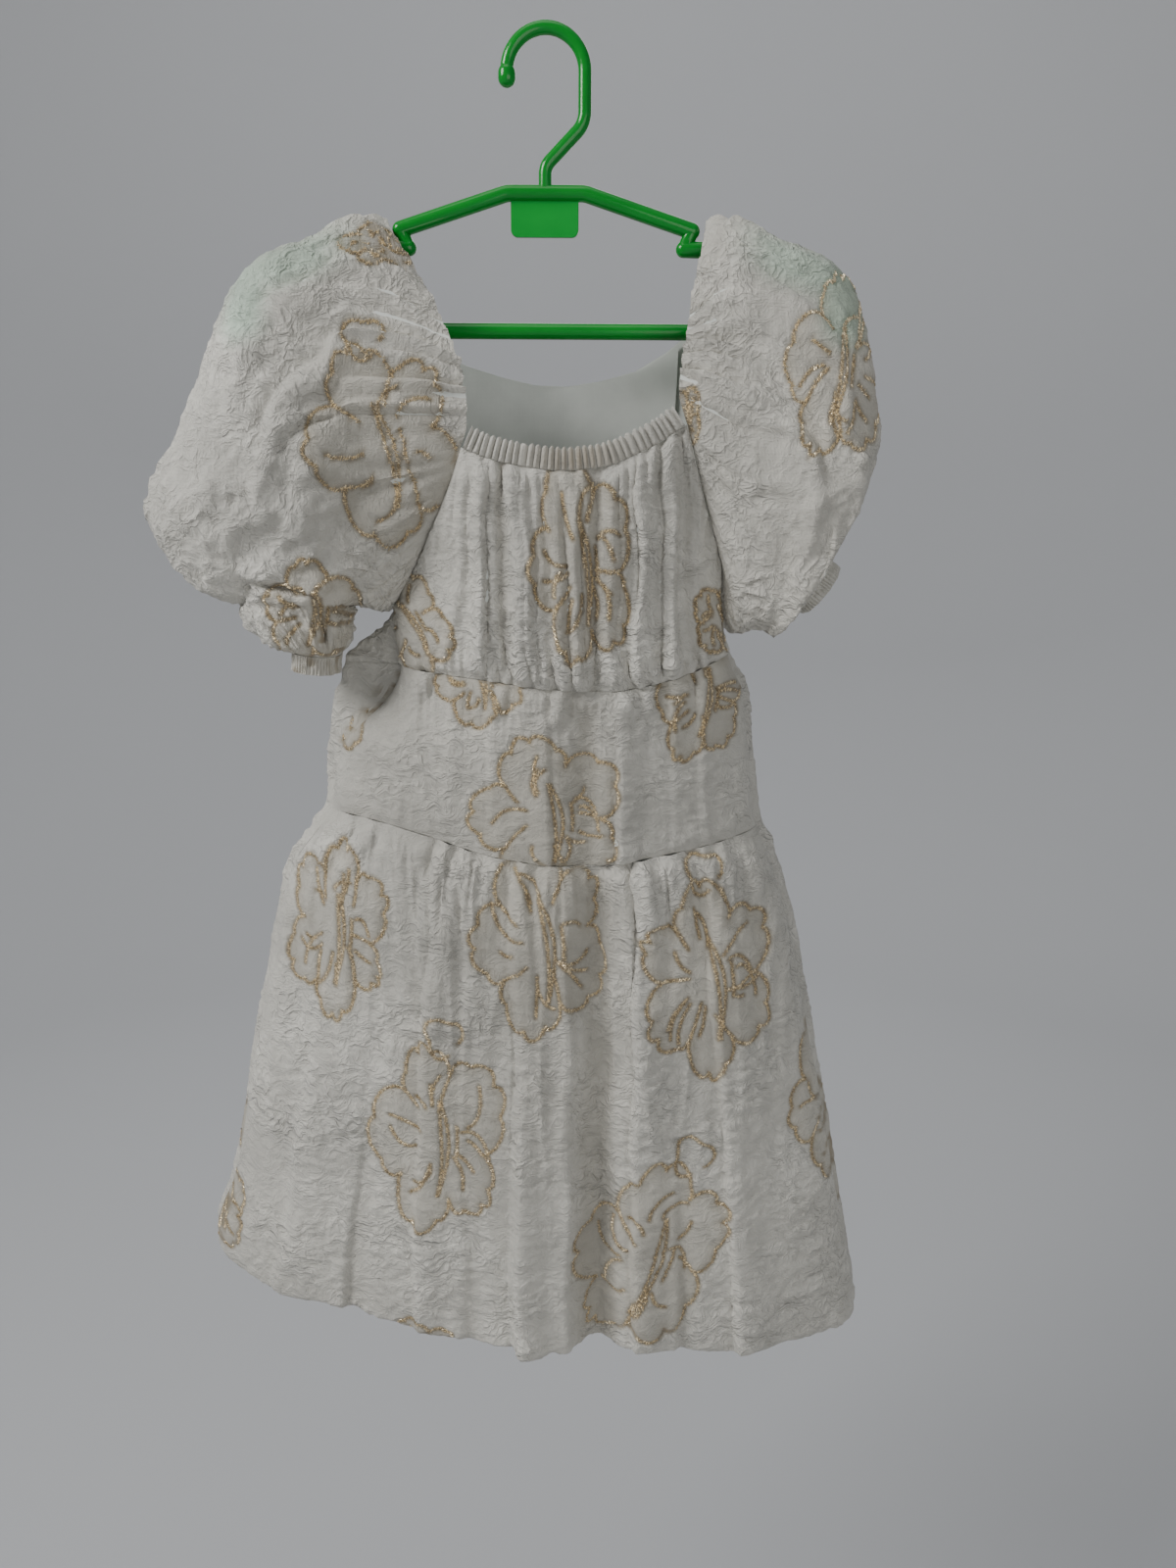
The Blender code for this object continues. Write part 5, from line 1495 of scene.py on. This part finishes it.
skirtFront, skirtFrontThread = makeSkirt(
    "skirtFrontPanel",
    skirtForm(skirtLook["columns"], skirtLook["rows"], frontPoint, frontSeams, -1, skirtFrontWaves),
    ((6, 60, 55), (14, 60, 110)), (46, 47), 1.0, skirtFrontFlowers, 141, skirtLook["stitch"], False)
skirtBack, skirtBackThread = makeSkirt(
    "skirtBackPanel",
    skirtForm(skirtLook["backColumns"], skirtLook["backRows"], backPoint, backSeams, 1, skirtBackWaves),
    ((7, 60, 55), (15, 60, 110)), (48, 49), skirtLook["backPaintedShadeShare"], skirtBackFlowers, 151,
    skirtLook["backStitch"], True)
print("skirt made")

# Sleeves
sleeveLook = {
    "drift": 6.5, "long": 1.4, "longSize": (13, 11, 8), "short": 0.9, "shortSize": (7, 6, 5),
    "puff": 1.3, "puffSize": (13, 12, 11), "patchSize": 36, "calm": 0.5,
    "neckScallops": 80, "scallop": 1.2, "neckPleats": 46, "pleat": 2.6, "stitch": 0.95,
    "extraRings": [0.0, 0.045, 0.15], "finer": 12, "finerAround": 6, "clothRadius": 58, "clothLength": 210,
    "runs": 3.8, "shortRuns": 1.3, "cuffRuns": 2.2, "swirl": 2.0,
    "least": 0.45, "most": {"left": 0.8, "right": 0.65}, "rough": {"left": 0.45, "right": 0.0},
    # The next values darken parts of each sleeve with painted shade.
    "paintedShadeArea": {"left": 0.4, "right": 0.4}, "paintedShadeTo": {"left": (0.5, 0.2), "right": (1.3, 0.9)},
}
leftSleeveFlowers = table(
    "x     z    wide tall turn petals seed bud",
    (-89,  -221, 85, 111,  10,     5,  51,  1),
    (-134, -313, 52,  61, -14,     5,  52,  0),
    (-91,  -112, 42,  24,   0,     5,  53,  0),
)
rightSleeveFlowers = table(
    "x     z    wide tall turn petals seed bud",
    (165,  -177, 66, 104,  -8,     5,  54,  0),
    (80,   -204, 14,  34,   0,     4,  55,  0),
)
leftSleeveBackFlowers = table(
    "x     z    wide tall turn petals seed bud",
    (-142, -206, 80, 100,  12,     5,  56,  1),
)
rightSleeveBackFlowers = table(
    "x     z    wide tall turn petals seed bud",
    (148,  -196, 70,  92, -10,     5,  57,  0),
)


# A ring of the armhole carried out to the cuff through the sleeve's rings, with folds out of it.
def sleeveForm(side, look):
    around = sleeveColumns * look["finerAround"]
    turn = np.arange(around) / around
    rings = leftSleeveRings if side == "left" else rightSleeveRings
    u = drawnOut(np.sort(np.concatenate([look["extraRings"], rings["u"]])), look["finer"])
    base = sleeveBase(side, turn, u)
    middle = base.mean(axis=1, keepdims=True)
    out = base - middle
    out /= np.linalg.norm(out, axis=-1, keepdims=True)
    u, turn = u[:, None], turn[None, :]
    around = 2 * np.pi * turn
    radius = look["clothRadius"]
    places = np.broadcast_arrays(np.cos(around) * radius, np.sin(around) * radius, u * look["clothLength"])
    cloth = np.stack(places, axis=-1)
    lift = sleeveLift(side, turn, u)
    atNeck = ramp(0.24, 0.28, turn) * ramp(0.68, 0.63, turn)
    wander = 0.35 * cloudNoise(cloth / np.array([18, 18, 60]), 61)
    scallops = np.abs(np.cos(np.pi * (look["neckScallops"] * turn + wander))) ** 0.7 * 2 - 1
    lift += look["scallop"] * scallops * atNeck * ramp(0.14, 0.0, u)
    wander = 1.1 * cloudNoise(cloth / np.array([30, 30, 80]), 66)
    long = 0.5 + 0.5 * cloudNoise(cloth / np.array([20, 20, 400]), 67)
    pleats = np.abs(np.cos(np.pi * (look["neckPleats"] * turn + wander))) ** 1.5 - 0.4
    pleats = look["pleat"] * pleats * ramp(0.2, 0.27, turn) * ramp(0.72, 0.64, turn)
    lift += pleats * ramp(0.2 + 0.4 * long, 0.05, u)
    runs = creases(cloth, (8, 8, 62), 62) * ramp(0.66, 0.04, u) * ramp(0.0, 0.05, u) * look["runs"]
    runs += creases(cloth, (5, 5, 34), 63) * ramp(0.35, 0.0, u) * ramp(0.0, 0.03, u) * look["shortRuns"]
    runs += creases(cloth, (6, 6, 26), 64) * ramp(0.78, 0.95, u) * ramp(1.0, 0.97, u) * look["cuffRuns"]
    swirl = creases(base + 40, (17, 17, 17), 65) * ramp(0.25, 0.6, u) * ramp(1.0, 0.9, u) * look["swirl"]
    form = base + out * (lift + runs + swirl)[..., None]
    return form, u, turn


# Green where the sleeve lies before the bar inside it: less with the way from its centre line.
def hangerGlow(form, out):
    bar = np.stack([lowerBar["x"] * out, lowerBar["z"]], axis=1)[:4]
    flat = form[..., [0, 2]].reshape(-1, 2)
    near = distanceToLines(flat, [bar])
    return (1 - ramp(4, 22, near)).reshape(form.shape[:2])


def makeSleeve(side, look, frontFlowers, backFlowers, seed):
    form, u, turn = sleeveForm(side, look)
    half = form.shape[1] // 2
    strength = mix(look["least"], look["most"][side], ramp(0.05, 0.4, u))
    strength = strength + look["rough"][side] * ramp(0.4, 0.75, u) + 0 * turn
    fade = borderFade(form.shape[:2], True, True, False)
    glow = hangerGlow(form, -1 if side == "left" else 1) * ramp(0.05, 0.2, u)
    glow = glow * ramp(0.2, 0.27, turn) * ramp(0.85, 0.75, turn)
    # Painted shade: darker over the upper left sleeve and over nearly all of the right sleeve.
    paintedShadeArea = look["paintedShadeArea"][side] * ramp(*look["paintedShadeTo"][side], u) + 0 * turn
    parts = [(slice(0, half + 1), flowersOf(frontFlowers)),
             (slice(half, 2 * half), flowersOf(backFlowers))]
    return finishPanel(
        side + "PuffSleeve", form, look, [sleeveCrepe, lining], None, seed, look["stitch"], fade,
        turned=side == "left", ring=True, strength=strength, parts=parts, green=glow, paintedShade=paintedShadeArea)


leftSleeve, leftSleeveThread = makeSleeve(
    "left", sleeveLook, leftSleeveFlowers, leftSleeveBackFlowers, 161)
rightSleeve, rightSleeveThread = makeSleeve(
    "right", sleeveLook, rightSleeveFlowers, rightSleeveBackFlowers, 171)
print("sleeves made")

# Cuffs
# The stain is the gold cast of a flower that the elastic gathers in.
cuffLook = {"gathers": 0.4, "wave": 1.1, "ridges": 44, "crinkle": 0.7, "rows": 12, "finerAround": 6,
            "narrowest": 0.97, "ends": 0.02, "stain": {"left": 0.8, "right": 0.0}}


# The end of the sleeve carried on along the cuff's way, waved around and pulled in halfway.
def makeCuff(side, look):
    turned = side == "left"
    around = sleeveColumns * look["finerAround"]
    turn = np.arange(around) / around
    top = sleeveBase(side, turn, np.array([1.0]))[0]
    middle = top.mean(axis=0)
    run = np.array([cuffWay[side][0], 0.0, cuffWay[side][1]])
    along = mix(seamGap * 2, cuffHeight, np.linspace(0, 1, look["rows"] + 1))[:, None, None]
    size = look["narrowest"] + look["ends"] * np.abs(np.linspace(-1, 1, look["rows"] + 1))[:, None, None]
    out = (top - middle) / np.linalg.norm(top - middle, axis=1, keepdims=True)
    ridges = np.abs(np.cos(np.pi * look["ridges"] * turn)) ** 0.7 - 0.6
    wave = look["gathers"] * np.cos(2 * np.pi * cuffWaves * turn) + look["wave"] * ridges
    form = middle + (top - middle) * size + run * along + out * wave[:, None]
    normals = gridNormals(form, True, turned)
    outer = form + normals * (look["crinkle"] * cloudNoise(form / 4, 71))[..., None]
    stain = ramp(0.1, 0.6, cloudNoise(form / 9, 72)) * look["stain"][side]
    masks = {"line": stain, "petal": np.full(form.shape[:2], look["stain"][side])}
    return clothWallPiece(side + "ElasticCuff", outer, form[::3, ::3] - normals[::3, ::3] * clothWall, 3,
                          [bandCrepe, lining], masks, ring=True, turned=turned)


leftCuff = makeCuff("left", cuffLook)
rightCuff = makeCuff("right", cuffLook)

# Neck casing
casingLook = {"perWave": 12, "around": 28, "ends": (0.012, 0.988), "ridge": 1.9, "edgeWave": 1.7,
              "uneven": 0.45, "front": 1.0, "back": 1.6, "rough": 0.25, "farthestBack": -38.5,
              # The valley value sets painted shade between the ridges.
              "stainX": 18.0, "stainWidth": 24.0, "stain": 0.8, "paintedValleyShade": 0.8}


# A closed flat tube swept along the neck: a rounded slot shape whose front stands in round
# ridges with deep valleys between them.
def makeCasing(look):
    count = casingWaves * look["perWave"]
    s = np.linspace(*look["ends"], count + 1)
    topZ = read(frontSeams, "neck", s, "s")
    edge = frontPoint(s, topZ - casingHeight)
    edge[:, 1] = np.minimum(edge[:, 1], look["farthestBack"])
    along = np.gradient(edge, axis=0)
    along /= np.linalg.norm(along, axis=1)[:, None]
    up = np.array([0, 0, 1.0]) - along * along[:, 2:]
    up /= np.linalg.norm(up, axis=1)[:, None]
    out = np.cross(along, up)
    turns = np.linspace(0, casingWaves, count + 1)
    uneven = look["uneven"] * cloudAt(81, turns / 2.3, 0.0, 0.0)
    ridge = 2 * np.abs(np.cos(np.pi * (turns + uneven))) ** 0.6 - 1
    ridge *= 0.8 + look["uneven"] * cloudAt(82, turns / 1.4, 0.0, 4.0)
    angle = 2 * np.pi * np.arange(look["around"]) / look["around"]
    rise = (1 - np.cos(angle)) / 2
    front = np.clip(np.sin(angle), 0, 1) ** 0.5
    back = np.clip(-np.sin(angle), 0, 1) ** 0.5
    topEdge = np.exp(-((rise - 1) / 0.25) ** 2)
    height = rise * casingHeight + topEdge * ridge[:, None] * look["edgeWave"]
    depth = look["front"] * front - look["back"] * back + front * ridge[:, None] * look["ridge"]
    depth = depth + look["rough"] * front * cloudAt(83, turns[:, None] / 0.8, rise * 3, 0.0)
    sections = edge[:, None] + up[:, None] * height[..., None] + out[:, None] * depth[..., None]
    ids = closedRing(np.arange(sections.shape[0] * look["around"]).reshape(sections.shape[:2]))
    ends = np.array([[0, k + 1, k] for k in range(1, look["around"] - 1)])
    first, last = ends[:, ::-1], ids[-1, 0] + ends
    nearStain = np.exp(-((sections[..., 0] - look["stainX"]) / look["stainWidth"]) ** 2)
    tint = nearStain * ramp(-0.2, 0.6, ridge)[:, None] * front
    # Painted shade: darker in the valleys between the ridges.
    paintedValleyShade = look["paintedValleyShade"] * ramp(0.4, -0.9, ridge)[:, None] * front
    masks = {"line": (look["stain"] * tint).ravel(), "paintedShade": paintedValleyShade.ravel()}
    return newMesh("frontNeckCasing", sections.reshape(-1, 3), gridQuads(ids),
                   np.concatenate([first, last]), [bandCrepe], None, masks)


neckCasing = makeCasing(casingLook)
print("cuffs and neck casing made")

# Hanger
hangerLook = {
    "bar": 4.5, "jog": 4.0, "hook": 3.7, "hookLoop": 21.7, "tip": 4.9,
    "sides": 32, "step": 6, "loopSteps": 48,
    "tabLeft": -20.0, "tabRight": 18.5, "tabTop": -81.0, "tabBottom": -103.2,
    "tabCorner": 4.0, "tabThick": 2.4,
}


# Faces of a closed piece turned outwards.
def facesOutwards(thing):
    work = bmesh.new()
    work.from_mesh(thing.data)
    bmesh.ops.recalc_face_normals(work, faces=work.faces)
    work.to_mesh(thing.data)
    work.free()


# A circle carried along a path in the XZ plane, its ends closed with half-round caps.
def tubePiece(name, path, radius, sides):
    start, end = path[0] - path[1], path[-1] - path[-2]
    start, end = start / np.linalg.norm(start), end / np.linalg.norm(end)
    cap = np.linspace(0, 1, 7)[1:-1]
    reach, size = np.sin(cap * np.pi / 2) * radius, np.cos(cap * np.pi / 2)
    line = np.concatenate([path[:1] + start * reach[::-1, None], path, path[-1:] + end * reach[:, None]])
    sizes = radius * np.concatenate([size[::-1], np.ones(len(path)), size])
    along = np.gradient(line, axis=0)
    along[:6], along[-6:] = -start, end
    along /= np.linalg.norm(along, axis=1)[:, None]
    side = np.stack([-along[:, 1], along[:, 0]], axis=1)
    angle = 2 * np.pi * np.arange(sides) / sides
    flat = line[:, None] + side[:, None] * (np.cos(angle) * sizes[:, None])[..., None]
    depth = np.sin(angle) * sizes[:, None]
    points = np.stack([flat[..., 0], depth, flat[..., 1]], axis=-1).reshape(-1, 3)
    poles = np.array([path[0] + start * radius, path[-1] + end * radius])
    points = np.concatenate([points, np.stack([poles[:, 0], 0 * poles[:, 0], poles[:, 1]], axis=1)])
    ids = closedRing(np.arange(len(line) * sides).reshape(len(line), sides))
    pole = len(line) * sides
    first = np.stack([ids[0, :-1], ids[0, 1:], np.full(sides, pole)], axis=1)
    last = np.stack([ids[-1, 1:], ids[-1, :-1], np.full(sides, pole + 1)], axis=1)
    thing = newMesh(name, points, gridQuads(ids), np.concatenate([first, last]), [greenPlastic])
    facesOutwards(thing)
    return thing


# The label tab: a rounded plate, its outline a chain of points pushed through its thickness.
def tabPiece(look):
    left, right, top, bottom = (look["tab" + end] for end in ("Left", "Right", "Top", "Bottom"))
    corner, half = look["tabCorner"], look["tabThick"] / 2
    angle = np.linspace(0, np.pi / 2, 9)
    c, s = corner * np.cos(angle), corner * np.sin(angle)
    first = np.stack([right - corner + c, bottom + corner - s], axis=1)
    second = np.stack([left + corner - s, bottom + corner - c], axis=1)
    rim = np.concatenate([[[left, top], [right, top]], first, second])
    count = len(rim)
    inset = rim + (rim.mean(axis=0) - rim) * np.array([0.02, 0.035])
    layers = [(inset, -half), (rim, -half * 2 / 3), (rim, half * 2 / 3), (inset, half)]
    points = np.concatenate([np.stack([flat[:, 0], np.full(count, depth), flat[:, 1]], axis=1)
                             for flat, depth in layers])
    ids = closedRing(np.arange(4 * count).reshape(4, count))
    fan = np.array([[0, k, k + 1] for k in range(1, count - 1)])
    thing = newMesh("labelTab", points, gridQuads(ids), np.concatenate([fan, fan[:, ::-1] + 3 * count]),
                    [greenPlastic, tabPlastic])
    facesOutwards(thing)
    thing.data.polygons.foreach_set("material_index", np.ones(len(thing.data.polygons), dtype=np.int32))
    return thing


# Bars, hook, tip, tab and the short pieces at the strap notches, moulded into one.
def makeHanger(look):
    flip, sides = np.array([-1.0, 1.0]), look["sides"]
    top, low = roundedPath(topBar, look["step"]), roundedPath(lowerBar, look["step"])
    angles = np.radians(np.linspace(183, 0, look["loopSteps"]))
    loop = np.stack([np.cos(angles), np.sin(angles)], axis=1) * look["hookLoop"]
    loop = loop + [0, look["hook"] - look["hookLoop"]]
    hook = np.concatenate([loop[:-1], roundedPath(hookStem, look["step"])])
    pieces = [
        tubePiece("hangerBody", np.concatenate([(top * flip)[::-1], top[1:]]), look["bar"], sides),
        tubePiece("lowerBarPiece", np.concatenate([low, (low * flip)[::-1][1:]]), look["bar"], sides),
        tubePiece("hookPiece", hook, look["hook"], sides),
        tubePiece("hookTip", np.array([loop[0] + [0, 0.2], loop[0] - [0, 2.2]]), look["tip"], sides),
        tabPiece(look),
    ]
    for sign in (-1, 1):
        side = np.array([sign, 1.0])
        jog = np.array([top[-1] * side, low[0] * side])
        pieces.append(tubePiece("jogPiece", jog, look["jog"], sides))
    body = pieces[0]
    body.data.materials.append(tabPlastic)
    for number, piece in enumerate(pieces[1:]):
        join = body.modifiers.new("join" + str(number), "BOOLEAN")
        join.operation, join.solver, join.object = "UNION", "EXACT", piece
    bpy.context.view_layer.update()
    joined = bpy.data.meshes.new_from_object(body.evaluated_get(bpy.context.evaluated_depsgraph_get()))
    body.modifiers.clear()
    body.data = joined
    for piece in pieces[1:]:
        bpy.data.objects.remove(piece, do_unlink=True)
    joined.shade_smooth()
    joined.set_sharp_from_angle(angle=math.radians(38))
    body.name = "greenHanger"
    return body


hanger = makeHanger(hangerLook)
print("hanger made")

# What each piece stands for: its node, slot, flat size and built area in metres, how it
# is held, and the threads on it.
cloth = [
    (frontBodice, "front_bodice", "crepe", (0.30, 0.15), 0.032, "gathered", frontBodiceThread),
    (backBodice, "back_bodice", "crepe", (0.24, 0.17), 0.034, "hung", backBodiceThread),
    (backLining, "back_lining", "lining", (0.18, 0.13), 0.019, "hung", []),
    (neckCasing, "front_neck_casing", "crepe_band", (0.17, 0.0125), None, "gathered", []),
    (leftSleeve, "left_sleeve", "crepe_sleeve", (0.40, 0.26), 0.095, "gathered", leftSleeveThread),
    (rightSleeve, "right_sleeve", "crepe_sleeve", (0.36, 0.20), 0.064, "gathered", rightSleeveThread),
    (leftCuff, "left_cuff", "crepe_band", (0.14, 0.011), None, "gathered", []),
    (rightCuff, "right_cuff", "crepe_band", (0.12, 0.011), None, "gathered", []),
    (middleFront, "middle_tier_front", "crepe_tier", (0.33, 0.11), None, "gathered", middleFrontThread),
    (middleBack, "middle_tier_back", "crepe_tier", (0.33, 0.11), None, "gathered", middleBackThread),
    (skirtFront, "skirt_front", "crepe", (0.50, 0.38), 0.165, "gathered", skirtFrontThread),
    (skirtBack, "skirt_back", "crepe", (0.50, 0.38), 0.165, "gathered", skirtBackThread),
]
for piece, node, slot, flat, area, held, threads in cloth:
    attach(piece, "root")
    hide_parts(node)
    for thread in threads:
        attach(thread, "root")
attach(hanger, "root")
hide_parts("hanger")
for thing in list(bpy.context.scene.objects):
    if thing.type == "MESH" and not thing.hide_render:
        triangles = sum(len(face.vertices) - 2 for face in thing.data.polygons)
        print(thing.name, triangles, "triangles")

# Floor, light and camera
stageLook = {"radius": 3.4, "floor": -1.35, "corner": 1.4, "top": 3.6, "around": 96,
             "colour": (0.475, 0.481, 0.492), "shadeDown": 0.97}


# A profile turned about the middle: flat floor, a quarter round, then an upright wall.
def makeStage(look):
    bend = np.linspace(-np.pi / 2, 0, 25)
    reach = look["radius"] - look["corner"]
    corner = np.stack([reach + look["corner"] * np.cos(bend),
                       look["floor"] + look["corner"] * (1 + np.sin(bend))], axis=1)
    profile = np.concatenate([[[0.02, look["floor"]]], corner, [[look["radius"], look["top"]]]])
    out, high = profile[:, None, 0], profile[:, None, 1]
    around = 2 * np.pi * np.arange(look["around"]) / look["around"]
    points = np.stack(np.broadcast_arrays(out * np.cos(around), out * np.sin(around), high), axis=-1)
    ids = np.arange(len(profile) * look["around"]).reshape(len(profile), look["around"])
    centre = np.array([[0, 0, look["floor"]]])
    fan = np.stack([ids[0], np.roll(ids[0], -1), np.full(look["around"], ids.size)], axis=1)
    ids = closedRing(ids)
    material, tree, shader, place = startMaterial("paleFloor", 0.75)
    tone = noiseNode(tree, place, 1.6, 2)
    darker = tuple(channel * look["shadeDown"] for channel in look["colour"])
    tree.links.new(mixNode(tree, tone, darker, look["colour"]), shader.inputs["Base Color"])
    points = np.concatenate([points.reshape(-1, 3), centre]) / mm
    return newMesh("paleBackdrop", points, gridQuads(ids), fan, [material])


makeStage(stageLook)

# Each light's place, size and power, in metres and watts.
lightLook = {
    "key": ((-1.65, -0.9, 0.9), 0.9, 46), "fill": ((1.0, -2.2, -0.4), 1.8, 17),
    "top": ((-0.2, -0.35, 1.7), 1.2, 6), "back": ((0.4, 2.2, 0.9), 1.6, 12),
    "wall": ((0.0, 1.2, 1.8), 2.0, 24), "aim": {"wall": (0, 3.4, 0.5)}, "middle": (0, 0, -0.4),
    "world": (0.80, 0.83, 0.86), "worldStrength": 0.36,
}


# Square lights, all aimed at the dress but the one on the wall behind it.
def makeLights(look):
    for name in ("key", "fill", "top", "back", "wall"):
        place, size, power = look[name]
        light = bpy.data.lights.new(name + "Light", "AREA")
        light.size, light.energy = size, power
        lamp = bpy.data.objects.new(name + "Light", light)
        lamp.location = place
        aim = Vector(look["aim"].get(name, look["middle"]))
        lamp.rotation_euler = (aim - Vector(place)).to_track_quat("-Z", "Y").to_euler()
        bpy.context.scene.collection.objects.link(lamp)
    world = bpy.data.worlds.new("softRoom")
    world.use_nodes = True
    background = world.node_tree.nodes["Background"]
    background.inputs["Color"].default_value = (*look["world"], 1.0)
    background.inputs["Strength"].default_value = look["worldStrength"]
    bpy.context.scene.world = world


makeLights(lightLook)
cameraLook = {"place": (0.0259, -0.70, -0.2627), "tilt": 77.1, "roll": 0.37, "lens": 26.0,
              "sensor": 36.0, "nearest": 0.02}
camera = bpy.data.objects.new("photoCamera", bpy.data.cameras.new("photoCamera"))
camera.data.lens = cameraLook["lens"]
camera.data.sensor_width = cameraLook["sensor"]
camera.data.clip_start = cameraLook["nearest"]
bpy.context.scene.collection.objects.link(camera)
camera.matrix_world = (Matrix.Translation(cameraLook["place"])
                       @ Matrix.Rotation(math.radians(cameraLook["tilt"]), 4, "X")
                       @ Matrix.Rotation(math.radians(cameraLook["roll"]), 4, "Z"))
bpy.context.scene.camera = camera

print("all made")
